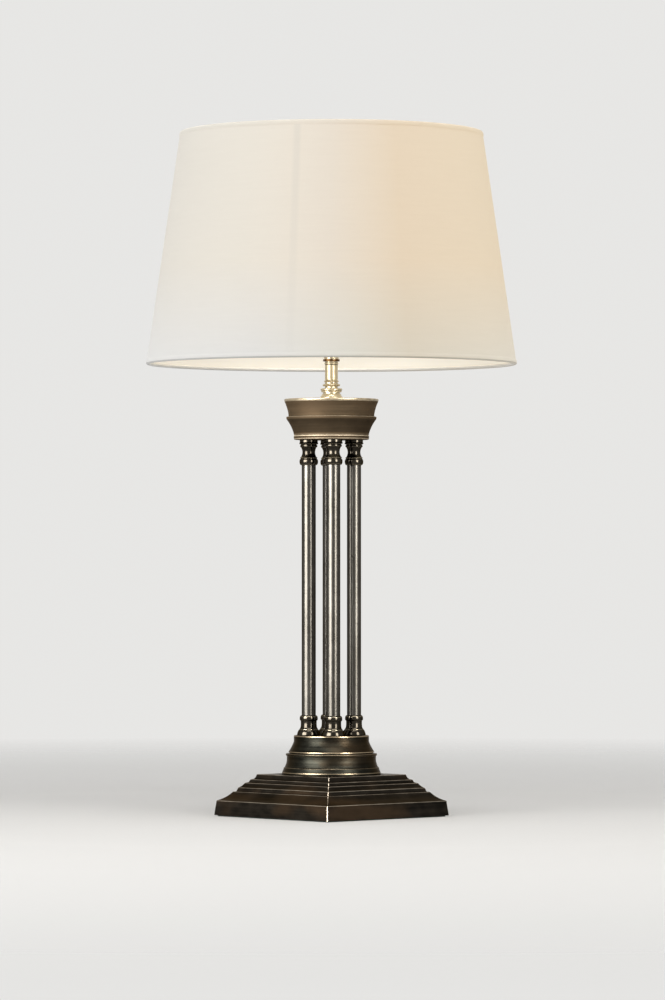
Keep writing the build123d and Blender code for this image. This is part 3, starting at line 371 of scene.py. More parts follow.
BASE_HALF = 91.2
BASE_SOFT = 0.35
ROOF_END = 42.0
BASE_MOULDINGS = (
    (1.8, 15.8, 0.0),
    (0.8, 0.5, 0.0),
    (12.0, 9.4, -1.1),
    (2.6, 0.3, 0.0),
    (1.4, 4.1, 0.0),
    (5.2, 5.2, -0.6),
    (2.9, 0.8, 0.0),
    (1.5, 3.0, 0.0),
    (2.7, 0.7, 0.0),
    (2.3, 5.0, -0.35),
)

base_members, out = [], BASE_HALF
for inset, rise, swell in BASE_MOULDINGS:
    out -= inset
    base_members.append((out, rise, swell))
base_members.append((ROOF_END, 0.0, 0.0))
base_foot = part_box("stepped_base")[0].z * 1000
section = rounded(base_members, (BASE_HALF, base_foot), BASE_SOFT)

# Each row of the moulding goes round four sides, in short lengths so that its arrises can waver as a hand
# finished casting's do, up to WAVER. A mitre is blunted a little, and painted pale for MITRE_WEAR_AND_LIGHT on
# either side, as wear and as a painted highlight.
MITRE_WEAR_AND_LIGHT = 0.55
MITRE_BLUNT = 0.2
SIDE_STEPS = 28
WAVER = 0.22
WAVER_LENGTH = 14
ROW_DRIFT = 0.7


def side_places(half):
    """Where a side's corners lie, from -1 at its first mitre to just short of 1 at the next."""
    near, far = MITRE_WEAR_AND_LIGHT / half, 2 * MITRE_WEAR_AND_LIGHT / half
    evenly = [2 * step / SIDE_STEPS - 1 for step in range(1, SIDE_STEPS)]
    return [-1.0, near - 1, far - 1, *evenly, 1 - far, 1 - near]


corners, wear = [], []
last_row = len(section) - 1
for row, (out, up, worn_and_lit) in enumerate(section):
    places = side_places(out)
    for side in range(4):
        ahead = Vector((cos(pi / 2 * side), sin(pi / 2 * side)))
        along = Vector((-ahead.y, ahead.x))
        for place, share in enumerate(places):
            spot = ahead * out + along * out * share
            if place == 0:
                spot *= 1 - MITRE_BLUNT / out
            waver = WAVER * noise.noise((spot.x / WAVER_LENGTH, spot.y / WAVER_LENGTH, row * ROW_DRIFT))
            waver *= (1 - abs(share)) ** 0.2
            spot -= ahead * abs(waver) * (worn_and_lit > 0)
            lift = waver * (0 < row < last_row - 1)
            corners.append((spot.x / 1000, spot.y / 1000, (up + lift) / 1000))
            if place in (0, 1, len(places) - 1) and row < last_row:
                wear.append(max(worn_and_lit, 0.9 if place == 0 else 0.45))
            else:
                wear.append(worn_and_lit * (0.9 if worn_and_lit > 0 else 1.2))
faces = ring_faces(len(section), 4 * len(places))
add_piece("base_moulding", base_bronze, "stand", corners, faces, wear, ["stepped_base"])


# ---------------------------------------------------------------- lower drum
# A round hollow brass turning that sits on the base and carries the columns' feet. Olive-dark bronze, brushed
# round. Two lips in the middle and its top edge are painted bright, as wear and as a painted highlight.


def corner_at(radius, angle, up, spot=(0, 0)):
    """A corner in metres, from a radius and an angle round a spot, and a height, in millimetres."""
    return ((spot[0] + radius * cos(angle)) / 1000, (spot[1] + radius * sin(angle)) / 1000, up / 1000)


def turned(name, material, body, slot, first, members, foot, spot=(0, 0), steps=144, soft=0.3, nodes=()):
    """A turned piece: its section, which starts at radius first and height foot, goes once round its axis."""
    section = rounded(members, (first, foot), soft)
    angles = [2 * pi * step / steps for step in range(steps)]
    corners = [corner_at(radius, angle, up, spot) for radius, up, _ in section for angle in angles]
    wear = [worn_and_lit for *_, worn_and_lit in section for _ in angles]
    return add_piece(name, material, body, corners, ring_faces(len(section), steps), wear, nodes)


def foot_of(node):
    """How high a solid's foot stands, in millimetres."""
    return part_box(node)[0].z * 1000


def head_of(node):
    """How high a solid's head reaches, in millimetres."""
    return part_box(node)[1].z * 1000


BAND = 41.2
DRUM_HOLE = 6.0
lower_bronze = bronze_worn_and_lit(
    "lower_drum_bronze",
    dark=(0.0038, 0.0038, 0.0031),
    brown=(0.0150, 0.0148, 0.0116),
    edge=(0.34, 0.27, 0.18),
    streak_rows=480,
    rough=0.26,
    patches=(0.024, 0.0165, 0.0095),
)
turned(
    "lower_drum_turning",
    lower_bronze,
    "stand",
    "drum_bronze",
    BAND - 3.6,
    (
        (BAND + 12.8, 0.0, 0),
        (BAND + 12.8, 2.4, 0.15),
        (BAND + 10.8, 5.4, -0.15),
        (BAND + 10.2, 0.0, 0),
        (BAND + 7.7, 7.6, -0.35),
        (BAND + 7.7, 5.2, 0),
        (BAND + 8.6, 0.0, 0),
        (BAND + 8.6, 2.3, 0.2),
        (BAND + 4.8, 0.0, 0),
        (BAND + 4.8, 1.3, 0),
        # These two lips, and the top edge below, are painted pale, as wear and as a painted highlight.
        (BAND + 5.8, 0.0, 0, 1.0),
        (BAND + 5.8, 0.8, 0, 1.0),
        (BAND, 11.3, -0.45),
        (BAND, 5.6, 0),
        (BAND - 1.0, 1.0, 0.29, 0.8),
        (DRUM_HOLE, 0.0, 0),
    ),
    foot_of("lower_drum"),
    nodes=["lower_drum"],
)


# ---------------------------------------------------------------- columns
# Four turned brass columns in a ring. Each is a foot and a capital pushed over the ends of a plain tube, all
# polished and then darkened to a nickel bronze that is nearly black where nothing bright is mirrored.


def polished_bronze(name, dark, light, edge, rough):
    """Polished metal, darkened evenly, with a faint haze, hollows painted dark as dirt and shade, and arrises
    painted pale as wear and as a painted highlight.
    """

    def paint(point):
        haze = point.stretch(45, 45, 14).cloud(2, 0.5)
        blots = point.stretch(160, 160, 90).cloud(3, 0.6)
        sway = point.stretch(18, 18, 7).cloud(0, 0.5)
        wear = Field(point.tree).attribute("wear")
        tone = (haze * 0.6 + blots * 0.4).clip(0.35, 0.65).blend(dark, light)
        worn_and_lit = (wear.clip(0.2, 1.0) * 0.7).blend(tone, edge)
        return {
            "base_color": ((0 - wear).clip(0.2, 1.0) * 0.8).blend(worn_and_lit, (0.006, 0.005, 0.004)),
            "roughness": haze * 0.08 + blots * 0.04 + rough,
            "normal": sway.bump(0.00006),
        }

    return finish(name, paint, metallic=1.0, specular_tint=(0.45, 0.42, 0.38, 1))


column_bronze = polished_bronze(
    "column_bronze",
    dark=(0.040, 0.0372, 0.032),
    light=(0.066, 0.062, 0.055),
    edge=(0.30, 0.26, 0.20),
    rough=0.23,
)
moulding_bronze = polished_bronze(
    "moulding_bronze",
    dark=(0.021, 0.018, 0.014),
    light=(0.042, 0.037, 0.029),
    edge=(0.36, 0.31, 0.22),
    rough=0.11,
)

TUBE = 7.75
PIPE_BORE = 5.2
for number in range(1, 5):
    low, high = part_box(f"column_tube_{number}")
    spot = ((low.x + high.x) * 500, (low.y + high.y) * 500)
    fineness = {"spot": spot, "steps": 80, "soft": 0.25}
    turned(
        f"column_foot_turning_{number}",
        moulding_bronze,
        "stand",
        "column_bronze",
        PIPE_BORE,
        (
            (TUBE + 5.05, 0.0, 0),
            (TUBE + 5.05, 1.2, 0.2),
            (TUBE + 3.15, 4.8, 0.3),
            # The bead's top is painted pale, as a painted highlight of light from above, and the cove below it
            # darker.
            (TUBE + 2.65, 0.0, 0, 0.9),
            (TUBE + 2.65, 0.6, 0),
            (TUBE + 1.1, 3.6, -0.4, -0.4),
            (TUBE + 1.1, 6.0, -0.15),
            (TUBE + 1.85, 0.0, 0),
            (TUBE + 1.85, 4.3, 0.35),
            (TUBE + 0.55, 1.4, 0.2),
            (TUBE, 0.0, 0),
        ),
        foot_of(f"column_foot_{number}"),
        **fineness,
        nodes=[f"column_foot_{number}"],
    )
    turned(
        f"column_tube_plain_{number}",
        column_bronze,
        "stand",
        "column_bronze",
        TUBE,
        ((TUBE, (high.z - low.z) * 1000, 0),),
        low.z * 1000,
        **fineness,
        nodes=[f"column_tube_{number}"],
    )
    turned(
        f"column_capital_turning_{number}",
        moulding_bronze,
        "stand",
        "column_bronze",
        TUBE,
        (
            (TUBE + 0.55, 0.0, 0),
            (TUBE + 1.8, 0.9, 0.2),
            (TUBE + 1.8, 5.9, 0.7),
            # The tops of these beads are painted pale, as a painted highlight of light from above, and the long
            # neck below them is painted darker.
            (TUBE + 1.2, 0.0, 0, 0.6),
            (TUBE + 1.2, 0.7, 0),
            (TUBE + 1.45, 0.0, 0, 0.9),
            (TUBE + 1.45, 1.3, 0.3, 0.7),
            (TUBE + 0.9, 0.0, 0),
            (TUBE + 0.9, 11.0, -1.65, -0.4),
            (TUBE + 1.45, 0.0, 0),
            (TUBE + 1.45, 2.4, 0.35),
            (TUBE + 0.9, 0.0, 0),
            (TUBE + 0.9, 0.7, 0),
            (TUBE + 2.15, 0.0, 0),
            (TUBE + 2.15, 2.1, 0.55),
            (TUBE + 2.15, 3.0, 0),
            (PIPE_BORE, 0.0, 0),
        ),
        foot_of(f"column_capital_{number}"),
        **fineness,
        nodes=[f"column_capital_{number}"],
    )


# ---------------------------------------------------------------- upper drum and its lid
# The same kind of hollow turning, upside down, in a warmer and lighter brown bronze. A thin pale brass disc
# closes its mouth and shows as a bright line along the top.

upper_bronze = bronze_worn_and_lit(
    "upper_drum_bronze",
    dark=(0.047, 0.0335, 0.020),
    brown=(0.080, 0.0575, 0.0355),
    edge=(0.46, 0.39, 0.29),
    streak_rows=300,
    rough=0.62,
    patches=(0.076, 0.052, 0.031),
)
turned(
    "upper_drum_turning",
    upper_bronze,
    "stand",
    "drum_bronze",
    DRUM_HOLE,
    (
        (BAND - 1.0, 0.0, 0),
        (BAND, 1.0, 0.29),
        # A painted line of shade sits above the bead, and the bead's top is painted pale as a highlight.
        (BAND, 2.2, 0.1, -0.7),
        (BAND + 0.05, 1.4, 0.1, 0.95),
        (BAND - 0.5, 0.0, 0),
        (BAND - 0.5, 0.6, 0),
        (BAND, 0.0, 0),
        (BAND, 1.0, 0),
        # The long cove below is painted darker, as shade.
        (BAND + 7.7, 15.8, -0.9, -0.75),
        (BAND + 8.2, 1.3, 0),
        (BAND + 8.2, 1.9, 0.15),
        (BAND + 5.9, 0.0, 0),
        (BAND + 5.9, 2.6, 0),
        (BAND + 10.4, 14.4, -0.55),
        (BAND - 3.6, 0.0, 0),
    ),
    foot_of("upper_drum"),
    soft=0.45,
    nodes=["upper_drum"],
)


def lid_paint(point):
    rings = point.stretch(30, 30, 900).cloud(3, 0.6)
    blots = point.stretch(90, 90, 90).cloud(4, 0.6)
    tone = (rings * 0.5 + blots * 0.5).clip(0.35, 0.65)
    return {
        "base_color": tone.blend((0.24, 0.19, 0.12), (0.52, 0.45, 0.33)),
        "roughness": blots * 0.2 + 0.3,
    }


pale_brass = finish("pale_brass", lid_paint, metallic=1.0)
turned(
    "lid_disc",
    pale_brass,
    "stand",
    "brass",
    BAND - 5.0,
    ((BAND + 10.4, 0.0, 0), (BAND + 10.4, 2.4, 0.25), (PIPE_BORE, 0.0, 0)),
    head_of("upper_drum"),
    soft=0.7,
    nodes=["upper_drum_lid"],
)


# ---------------------------------------------------------------- neck
# A turned tube of pale brass with rings round its foot and a collar at its head, over the pipe that holds the
# lampholder.

NECK = 7.05


def neck_paint(point):
    haze = point.stretch(80, 80, 40).cloud(3, 0.6)
    wear = Field(point.tree).attribute("wear")
    # Its grooves are painted dark, as dirt and as shade, and its arrises pale, as wear and as a painted
    # highlight.
    hollow_dirt_and_shade = (0 - wear).clip(0.1, 0.9)
    tone = haze.clip(0.3, 0.7).blend((0.52, 0.43, 0.27), (0.70, 0.61, 0.42))
    worn_and_lit = wear.clip(0.2, 1.0).blend(tone, (0.66, 0.60, 0.46))
    return {
        "base_color": hollow_dirt_and_shade.blend(worn_and_lit, (0.075, 0.055, 0.026)),
        "roughness": haze * 0.2 + 0.22,
    }


neck_brass = finish("neck_brass", neck_paint, metallic=0.4)
turned(
    "neck_turning",
    neck_brass,
    "stand",
    "brass",
    PIPE_BORE,
    (
        (NECK + 5.05, 0.0, 0),
        (NECK + 5.05, 2.6, 0.2),
        (NECK + 3.35, 3.0, -0.4),
        (NECK + 2.3, 0.0, 0),
        (NECK + 2.3, 2.0, 0),
        (NECK + 4.15, 0.0, 0),
        (NECK + 3.85, 1.8, 0.3),
        (NECK + 4.55, 0.0, 0),
        (NECK + 4.55, 2.2, 0.4),
        (NECK, 0.4, 0),
        (NECK, 1.9, 0),
        (NECK + 2.2, 0.4, 0),
        (NECK + 2.2, 2.0, 0.4),
        (NECK, 0.4, 0),
        (NECK, 1.9, 0),
        (NECK + 0.8, 0.0, 0),
        (NECK + 0.8, 1.6, 0.3),
        (NECK + 0.3, 0.0, 0),
        (NECK, 1.2, -0.1),
        (NECK, 15.7, 0),
        # This groove is painted as a dark brown line.
        (NECK, 0.2, 0, -1.0),
        (NECK, 0.8, 0, -1.0),
        (NECK + 0.4, 0.0, 0),
        (NECK + 0.4, 1.7, 0.3),
        (NECK, 0.0, 0),
        (NECK, 1.7, 0.2),
        (PIPE_BORE, 0.0, 0),
    ),
    foot_of("neck"),
    steps=96,
    soft=0.2,
    nodes=["neck"],
)


# ---------------------------------------------------------------- lampholder
# A brass holder for a screw bulb: a dark washer, a domed cap, a threaded skirt with a shoulder for the shade,
# and inside it the porcelain core, the screw shell and the sprung centre contact.


def washer_paint(point):
    haze = point.stretch(300, 300, 300).cloud()
    return {"base_color": haze.blend((0.060, 0.030, 0.012), (0.130, 0.070, 0.030))}


dress(finish("dark_washer", washer_paint, roughness=0.35, metallic=1.0), "holder_washer")
dress(pale_brass, "centre_contact")


def glaze_paint(point):
    body = point.stretch(150, 150, 150).cloud(3, 0.5)
    return {"base_color": body.blend((0.78, 0.77, 0.72), (0.86, 0.85, 0.81)), "normal": body.bump(0.0002)}


dress(finish("porcelain", glaze_paint, roughness=0.18), "holder_core")

turned(
    "holder_cap_spinning",
    neck_brass,
    "stand",
    "brass",
    5.05,
    (
        (8.0, 0.0, 0),
        (8.0, 5.5, 0),
        (20.9, 8.0, 2.2),
        (20.9, 1.2, 0),
        (21.0, 0.5, 0.1),
        (20.9, 0.5, 0),
        (20.9, 4.3, 0),
        (19.65, 0.0, 0),
        (19.65, -6.3, 0),
    ),
    foot_of("holder_cap"),
    steps=96,
    nodes=["holder_cap"],
)


THREAD_STEPS = 96
THREAD_ROWS = 10


def threaded(name, material, body, foot, height, radius, depth, pitch, ends, nodes=()):
    """A sleeve with a round thread of a given pitch and depth between plain ends, in millimetres.

    ends are (radius, height) points below and above the thread, counted from its foot and its head. The
    thread has THREAD_ROWS rows of corners to each turn, and fades in and out over one pitch.
    """
    rows = ceil(height / pitch * THREAD_ROWS)
    below, above = ends
    section = [(out, foot + up, 0) for out, up in below]
    section += [(radius, foot + height * row / rows, 1) for row in range(rows + 1)]
    section += [(out, foot + height + up, 0) for out, up in above]
    corners = []
    for out, up, on_thread in section:
        fade = on_thread * min(1, (up - foot) / pitch, (foot + height - up) / pitch)
        for step in range(THREAD_STEPS):
            groove = 0.5 - 0.5 * cos(2 * pi * (up / pitch - step / THREAD_STEPS))
            corners.append(corner_at(out - depth * fade * groove, 2 * pi * step / THREAD_STEPS, up))
    return add_piece(
        name, material, body, corners, ring_faces(len(section), THREAD_STEPS), nodes=nodes
    )


SKIRT = 19.6
threaded(
    "holder_skirt_threaded",
    neck_brass,
    "stand",
    foot=foot_of("holder_skirt") + 8.0,
    height=28.0,
    radius=SKIRT,
    depth=0.7,
    pitch=2.5,
    ends=(
        (
            (18.0, -8.0),
            (SKIRT - 0.6, -8.0),
            (SKIRT - 0.6, -4.0),
            (23.4, -4.0),
            (23.4, -2.0),
            (SKIRT + 0.8, -2.0),
            (SKIRT + 0.8, -0.8),
            (SKIRT, -0.8),
        ),
        (
            (SKIRT, 0.5),
            (SKIRT, 3.2),
            (SKIRT - 1.2, 4.0),
            (15.2, 4.0),
            (15.2, 2.8),
            (18.0, 2.8),
            (18.0, -34.0),
        ),
    ),
    nodes=["holder_skirt"],
)
threaded(
    "screw_shell_rolled",
    neck_brass,
    "stand",
    foot=foot_of("screw_shell") + 3.0,
    height=19.0,
    radius=14.16,
    depth=0.5,
    pitch=3.6,
    ends=(((13.3, -3.0), (14.1, -3.0), (14.1, -0.5)), ((14.1, 0.5), (14.1, 2.0), (13.3, 2.0))),
    nodes=["screw_shell"],
)


# ---------------------------------------------------------------- shade clamp ring
# A brass ring with a flange and a fluted grip, screwed down the skirt onto the shade's fitter, in the same
# pale brass as the skirt.

CLAMP = 26.8
CLAMP_BORE = 19.7
FLUTE_STEPS = 240
FLUTE = 0.35
clamp_foot = foot_of("shade_clamp_ring")
clamp_section = (
    (CLAMP_BORE, 0.0, 0),
    (CLAMP - 0.4, 0.0, 0),
    (CLAMP, 0.4, 0),
    (CLAMP, 1.6, 0),
    (CLAMP - 0.4, 2.0, 0),
    (CLAMP - 3.2, 2.0, 0),
    (CLAMP - 3.2, 2.6, FLUTE),
    (CLAMP - 3.2, 6.0, FLUTE),
    (CLAMP - 3.7, 6.5, FLUTE),
    (CLAMP_BORE + 0.4, 6.5, 0),
    (CLAMP_BORE, 6.1, 0),
    (CLAMP_BORE, 0.0, 0),
)
corners = [
    corner_at(radius - flute * (step % 4 < 2), 2 * pi * step / FLUTE_STEPS, clamp_foot + up)
    for radius, up, flute in clamp_section
    for step in range(FLUTE_STEPS)
]
faces = ring_faces(len(clamp_section), FLUTE_STEPS)
add_piece("clamp_ring_fluted", neck_brass, "shade_clamp", corners, faces, nodes=["shade_clamp_ring"])


# ---------------------------------------------------------------- bulb
# A lit opal bulb with a screw cap: blown glass, a spun aluminium cap, a black glass insulator and a bright
# tip contact. The opal glass hides the stem and the filament.


def opal_paint(point):
    glow = point.stretch(40, 40, 40).cloud()
    return {
        "base_color": glow.blend((0.56, 0.54, 0.50), (0.62, 0.60, 0.56)),
        "emission_color": glow.blend((1.0, 0.86, 0.62), (1.0, 0.90, 0.70)),
    }


opal_glass = finish("opal_glass", opal_paint, roughness=0.12, emission_strength=0.62)

# The glass swells from its neck into the ball along one curve, which leaves the neck upright and meets the
# ball GLASS_TURN below its middle.
BALL = 30.0
GLASS_NECK = 12.8
GLASS_STEPS = 64
GLASS_TURN = radians(35)
NECK_PULL, BALL_PULL = 11.5, 13.0
cap_head = head_of("bulb_cap")
ball_middle = head_of("bulb_glass") - BALL
start = Vector((GLASS_NECK, cap_head + 4.0))
leave = start + Vector((0, NECK_PULL))
end = Vector((BALL * cos(GLASS_TURN), ball_middle - BALL * sin(GLASS_TURN)))
arrive = end - Vector((sin(GLASS_TURN), cos(GLASS_TURN))) * BALL_PULL
glass_line = [(GLASS_NECK - 0.05, cap_head - 4.0), (GLASS_NECK - 0.05, cap_head), tuple(start)]
for step in range(1, 12):
    share = step / 12
    rest = 1 - share
    point = start * rest**3 + leave * 3 * share * rest**2 + arrive * 3 * share**2 * rest + end * share**3
    glass_line.append(tuple(point))
for step in range(21):
    angle = -GLASS_TURN + (pi / 2 + GLASS_TURN) * step / 20
    glass_line.append((max(BALL * cos(angle), 0.02), ball_middle + BALL * sin(angle)))
corners = [
    corner_at(radius, 2 * pi * step / GLASS_STEPS, up)
    for radius, up in glass_line
    for step in range(GLASS_STEPS)
]
faces = ring_faces(len(glass_line), GLASS_STEPS)
add_piece("bulb_envelope", opal_glass, "bulb", corners, faces, nodes=["bulb_glass"])


def aluminium_paint(point):
    rings = point.stretch(20, 20, 1200).cloud()
    return {
        "base_color": rings.blend((0.58, 0.58, 0.57), (0.74, 0.74, 0.73)),
        "roughness": rings * 0.15 + 0.22,
    }


spun_aluminium = finish("spun_aluminium", aluminium_paint, metallic=1.0)
threaded(
    "bulb_cap_rolled",
    spun_aluminium,
    "bulb",
    foot=foot_of("bulb_cap") + 3.0,
    height=16.0,
    radius=13.15,
    depth=1.1,
    pitch=3.6,
    ends=(((10.6, -3.0), (13.0, -1.4), (13.15, -0.6)), ((13.15, 0.6), (13.15, 4.4), (12.8, 4.4))),
    nodes=["bulb_cap"],
)
dress(spun_aluminium, "bulb_tip_contact")


def vitrite_paint(point):
    gloss = point.stretch(200, 200, 200).cloud()
    return {"base_color": gloss.blend((0.004, 0.004, 0.006), (0.012, 0.012, 0.016))}


dress(finish("black_glass", vitrite_paint, roughness=0.08), "bulb_insulator")


def clear_paint(point):
    tint = point.stretch(60, 60, 60).cloud()
    return {"base_color": tint.blend((0.90, 0.94, 0.93), (0.97, 0.98, 0.98))}


dress(finish("clear_glass", clear_paint, roughness=0.03, transmission_weight=1.0), "bulb_stem")


def wire_paint(point):
    drawn = point.stretch(400, 400, 400).cloud()
    return {
        "base_color": drawn.blend((0.30, 0.29, 0.27), (0.46, 0.45, 0.42)),
        "emission_color": drawn.blend((1.0, 0.62, 0.28), (1.0, 0.72, 0.40)),
    }


dress(finish("glowing_wire", wire_paint, metallic=1.0, roughness=0.3, emission_strength=3.0), "bulb_filament")


# ---------------------------------------------------------------- shade frame
# White enamelled steel: a flat washer that seats on the lampholder's shoulder, three bent wires and the two
# rings that the cloth is rolled round.


def enamel_paint(point):
    coat = point.stretch(90, 90, 90).cloud()
    return {"base_color": coat.blend((0.76, 0.74, 0.69), (0.84, 0.82, 0.78)), "roughness": coat * 0.2 + 0.25}


white_enamel = finish("white_enamel", enamel_paint)
dress(white_enamel, "fitter_ring", "fitter_arms", "shade_bottom_ring", "shade_top_ring")


# ---------------------------------------------------------------- shade cloth
# Fine off-white cloth laminated on card and rolled into a cone, with one lapped seam. Its top and bottom
# edges are rolled over the wire rings in a narrow trim of the same cloth.

SHADE_LOW, SHADE_HIGH = 497.0, 748.9
SHADE_WIDE, SHADE_NARROW = 202.9, 166.1
CLOTH = 0.8
LAP = 0.25
SEAM_AT = radians(-56.2)
GLOW_SIDE = (0.683, 0.731, 0)
ROUND_STEPS = 288
LEVELS = 60
lean = atan2(SHADE_WIDE - SHADE_NARROW, SHADE_HIGH - SHADE_LOW)
slope = (SHADE_HIGH - SHADE_LOW) / cos(lean)

UPPER_GLOW = (
    (0.0, (0.31, 0.29, 0.26)),
    (0.25, (0.245, 0.215, 0.175)),
    (0.5, (0.215, 0.155, 0.10)),
    (0.7, (0.25, 0.135, 0.02)),
    (1.0, (0.385, 0.275, 0.14)),
)
LOWER_GLOW = (
    (0.0, (0.31, 0.32, 0.34)),
    (0.3, (0.18, 0.19, 0.215)),
    (0.55, (0.15, 0.145, 0.12)),
    (0.7, (0.16, 0.115, 0.05)),
    (1.0, (0.335, 0.295, 0.225)),
)


def cloth_paint(point):
    """Fine even cloth with the bulb's light in it: warm, more so to the right, and greyer towards its hem."""
    weave = point.stretch(1400, 1400, 900).cloud(2, 0.6)
    slubs = point.stretch(22, 22, 300).cloud(3, 0.6)
    tone = (weave * 0.5 + slubs * 0.5).clip(0.3, 0.7)
    outward = point.node("ShaderNodeVectorMath", {"operation": "NORMALIZE"}, {0: point.stretch(1, 1, 0)})
    sideways = {0: outward, 1: GLOW_SIDE}
    across = point.node("ShaderNodeVectorMath", {"operation": "DOT_PRODUCT"}, sideways, "Value")
    ramps = [
        point.node("ShaderNodeValToRGB", {"stops": stops}, {0: across * 0.5 + 0.5})
        for stops in (LOWER_GLOW, UPPER_GLOW)
    ]
    height = point.node("ShaderNodeSeparateXYZ", {}, {0: point}, "Z").clip(0.50, 0.60)
    # These values paint the seam's lap as a line of shade, and, where they are below 0, the underside of the
    # bottom hem as a painted shadow.
    lap = Field(point.tree).attribute("wear")
    hem_shadow = (0 - lap).clip(0, 1)
    cloth = (tone * (1 - lap.clip(0, 1) * 0.5)).blend((0.608, 0.588, 0.538), (0.634, 0.614, 0.563))
    return {
        "base_color": hem_shadow.blend(cloth, (0.26, 0.25, 0.235)),
        "emission_color": ((1 - lap.clip(0, 1) * 0.22) * (1 - hem_shadow)).blend((0, 0, 0), height.blend(*ramps)),
        "normal": (weave * 0.8 + slubs * 0.2).bump(0.00010),
    }


shade_cloth = finish(
    "shade_cloth", cloth_paint, roughness=0.85, specular_ior_level=0.15, emission_strength=1.0
)


# The lining's emission is painted light: the bulb's light falling on the inside of the shade.
def lining_glow_paint(point):
    grain = point.stretch(300, 300, 300).cloud(3, 0.5)
    return {
        "base_color": grain.blend((0.78, 0.75, 0.68), (0.82, 0.79, 0.72)),
        "emission_color": grain.blend((0.235, 0.215, 0.185), (0.275, 0.25, 0.215)),
    }


shade_lining = finish("shade_lining", lining_glow_paint, roughness=0.6, emission_strength=1.0)
corners, faces = [], []
for inside in (0, CLOTH):
    for level in range(LEVELS + 1):
        share = level / LEVELS
        up = SHADE_LOW + share * (SHADE_HIGH - SHADE_LOW)
        radius = SHADE_WIDE + share * (SHADE_NARROW - SHADE_WIDE) - inside / cos(lean)
        for step in range(ROUND_STEPS):
            lap = LAP * (step < 3 and not inside)
            corners.append(corner_at(radius + lap, SEAM_AT + 2 * pi * step / ROUND_STEPS, up))
half_count = len(corners) // 2
for side in (0, 1):
    for level in range(LEVELS):
        for step in range(ROUND_STEPS):
            ahead = (step + 1) % ROUND_STEPS
            low = side * half_count + level * ROUND_STEPS
            quad = (low + step, low + ahead, low + ROUND_STEPS + ahead, low + ROUND_STEPS + step)
            faces.append(quad[::-1] if side else quad)
for step in range(ROUND_STEPS):
    ahead = (step + 1) % ROUND_STEPS
    top = LEVELS * ROUND_STEPS
    faces.append((top + step, top + ahead, half_count + top + ahead, half_count + top + step))
    faces.append((ahead, step, half_count + step, half_count + ahead))

# The lap is painted as a fine line of shade, darker and with less glow, and clearer higher up.
lap_shade_line = [
    (place % ROUND_STEPS in (0, 1) and place < half_count) * (0.2 + 0.8 * place / half_count)
    for place in range(len(corners))
]
shade_skin = add_piece(
    "shade_skin", shade_cloth, "shade", corners, faces, lap_shade_line, nodes=["shade_fabric"]
)
shade_skin.data.materials.append(shade_lining)
for face in shade_skin.data.polygons:
    middle = face.center.to_2d()
    face.material_index = int(face.normal.to_2d().dot(middle) < 0)

# A hem's hairpin bends round a channel for the wire, ROLL inside the shade's edge. Its cloth is TRIM thick,
# and reaches HEM_OUTSIDE and HEM_INSIDE along the two faces of the shade.
CHANNEL = 1.575
TRIM = 0.55
ROLL = 0.39
HEM_OUTSIDE, HEM_INSIDE = 3.5, 1.0
# The underside of the bottom hem is painted dark as a shadow, by this much.
HEM_PAINTED_SHADOW = -0.45


def hem(name, edge, up_sign, node):
    """A strip of cloth folded in a hairpin round the shade's edge and its wire. The lower one has a painted
    shadow below.
    """
    outline = []
    for radius, tail, thinner, order in ((CHANNEL + TRIM, 0.12, 0.1, 1), (CHANNEL, 0, 0, -1)):
        side = [(CHANNEL + tail, HEM_OUTSIDE), (radius - thinner, 2.2), (radius, 1.2)]
        side += [(radius * cos(pi * turn / 12), -radius * sin(pi * turn / 12)) for turn in range(13)]
        side += [(-radius, HEM_INSIDE)]
        outline += side[::order]
    corners, painted_shadow = [], []
    for out, along in outline:
        painted_shadow += [HEM_PAINTED_SHADOW * (up_sign > 0 and along < -0.4 * CHANNEL)] * ROUND_STEPS
        local_out, local_up = out + 0.05 - CHANNEL, edge + up_sign * along
        radius = SHADE_WIDE + local_out * cos(lean) - local_up * sin(lean)
        up = SHADE_LOW + local_out * sin(lean) + local_up * cos(lean)
        for step in range(ROUND_STEPS):
            corners.append(corner_at(radius, SEAM_AT + 2 * pi * step / ROUND_STEPS, up))
    faces = ring_faces(len(outline), ROUND_STEPS, closed=True)
    return add_piece(name, shade_cloth, "shade", corners, faces, painted_shadow, [node])


bottom_hem = hem("bottom_hem_rolled", ROLL, 1, "shade_bottom_hem")
top_hem = hem("top_hem_rolled", slope - ROLL, -1, "shade_top_hem")


# ---------------------------------------------------------------- studio
# Plain pale paper all round, on a floor that keeps the lamp's shadow and fades into it. A wide window lights
# the lamp from the left, a narrow one from the right, and a soft ceiling light from above.

PAPER = (0.80, 0.795, 0.78)
world = bpy.data.worlds.new("studio")
bpy.context.scene.world = world
world.use_nodes = True
sky = world.node_tree
path = sky.nodes.new("ShaderNodeLightPath")
seen = Field(sky, path.outputs["Is Camera Ray"]) + Field(sky, path.outputs["Is Glossy Ray"])
seen = (seen + Field(sky, path.outputs["Is Transmission Ray"])).clip(0, 1)
sky.links.new(seen.blend((0.36, 0.36, 0.36), PAPER).socket, sky.nodes["Background"].inputs["Color"])

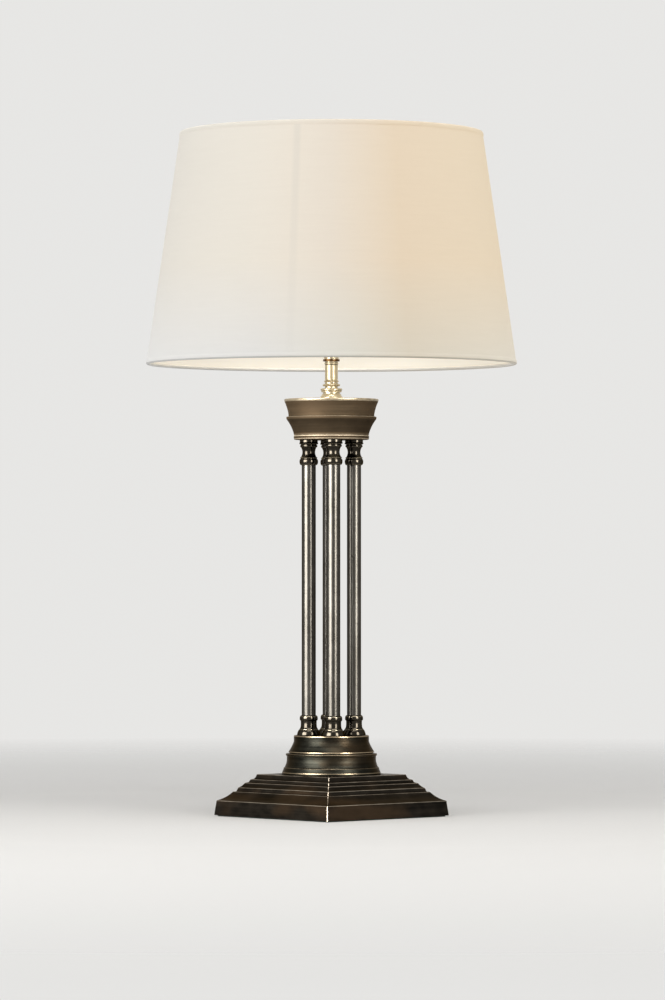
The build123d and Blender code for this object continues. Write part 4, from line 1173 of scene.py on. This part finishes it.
FLOOR_HALF = 3
floor_mesh = bpy.data.meshes.new("floor")
quad = [(FLOOR_HALF * x, FLOOR_HALF * y, 0) for x, y in ((-1, -1), (1, -1), (1, 1), (-1, 1))]
floor_mesh.from_pydata(quad, [], [(0, 1, 2, 3)])
floor = bpy.data.objects.new("floor", floor_mesh)
bpy.context.scene.collection.objects.link(floor)
floor_paper = finish(
    "floor_paper",
    lambda point: {"base_color": point.stretch(3, 3, 3).cloud().blend(PAPER, (0.81, 0.805, 0.79))},
    roughness=0.9,
)
tree = floor_paper.node_tree
point = Field(tree).node("ShaderNodeTexCoord", output="Object")
away = point.node("ShaderNodeVectorMath", {"operation": "LENGTH"}, {0: point}, "Value").clip(0.6, 2.4)
clear = away.node("ShaderNodeBsdfTransparent")
fading = away.node("ShaderNodeMixShader", {}, {0: away, 2: clear})
tree.links.new(tree.nodes["Principled BSDF"].outputs[0], fading.socket.node.inputs[1])
tree.links.new(fading.socket, tree.nodes["Material Output"].inputs["Surface"])
floor_mesh.materials.append(floor_paper)

CAMERA_TURN = radians(46.95)
CAMERA_AWAY = 5.375
CAMERA_UP = 0.2808
AIM_RIGHT, AIM_UP = 0.0012, 0.3467
toward = Vector((sin(CAMERA_TURN), -cos(CAMERA_TURN), 0))
rightward = Vector((cos(CAMERA_TURN), sin(CAMERA_TURN), 0))
camera_data = bpy.data.cameras.new("camera")
camera_data.lens, camera_data.sensor_width = 176.4, 36
camera = bpy.data.objects.new("camera", camera_data)
bpy.context.scene.collection.objects.link(camera)
camera.location = toward * CAMERA_AWAY + Vector((0, 0, CAMERA_UP))
aim = rightward * AIM_RIGHT + Vector((0, 0, AIM_UP))
camera.rotation_euler = (aim - camera.location).to_track_quat("-Z", "Y").to_euler()
bpy.context.scene.camera = camera


LAMP_AIM = Vector((0, 0, 0.35))
SKY_BEHIND = 0.02
COOL, WARM = (1.0, 0.985, 0.96), (1.0, 0.975, 0.93)


def lamp(name, angle, away, height, width, tall, bright, colour, glint):
    """A soft lamp, angle degrees to the right of the camera, that faces the columns and is bright as seen.

    glint is how bright the polished metal mirrors it, as it would a window's open sky. A second lamp just
    behind the first gives that, and lights nothing matt.
    """
    spin = radians(angle)
    for part, level, step_back in (("", bright, 0.0), ("_sky", glint, SKY_BEHIND)):
        data = bpy.data.lights.new(name + part, "AREA")
        data.shape, data.size, data.size_y = "RECTANGLE", width, tall
        data.energy, data.color = level * width * tall * pi, colour
        light = bpy.data.objects.new(name + part, data)
        bpy.context.scene.collection.objects.link(light)
        sideways = toward * cos(spin) + rightward * sin(spin)
        light.location = sideways * (away + step_back) + Vector((0, 0, height))
        light.rotation_euler = (LAMP_AIM - light.location).to_track_quat("-Z", "Y").to_euler()
        light.visible_diffuse = not part


lamp("left_window", -47, away=2.2, height=0.85, width=1.52, tall=1.6, bright=1.55, colour=COOL, glint=31.0)
lamp("right_window", 41, away=2.2, height=0.85, width=0.72, tall=1.6, bright=1.55, colour=WARM, glint=29.0)
lamp("ceiling", 10, away=0.8, height=2.4, width=1.4, tall=1.4, bright=3.4, colour=COOL, glint=12.0)

bpy.context.scene.view_settings.view_transform = "Standard"
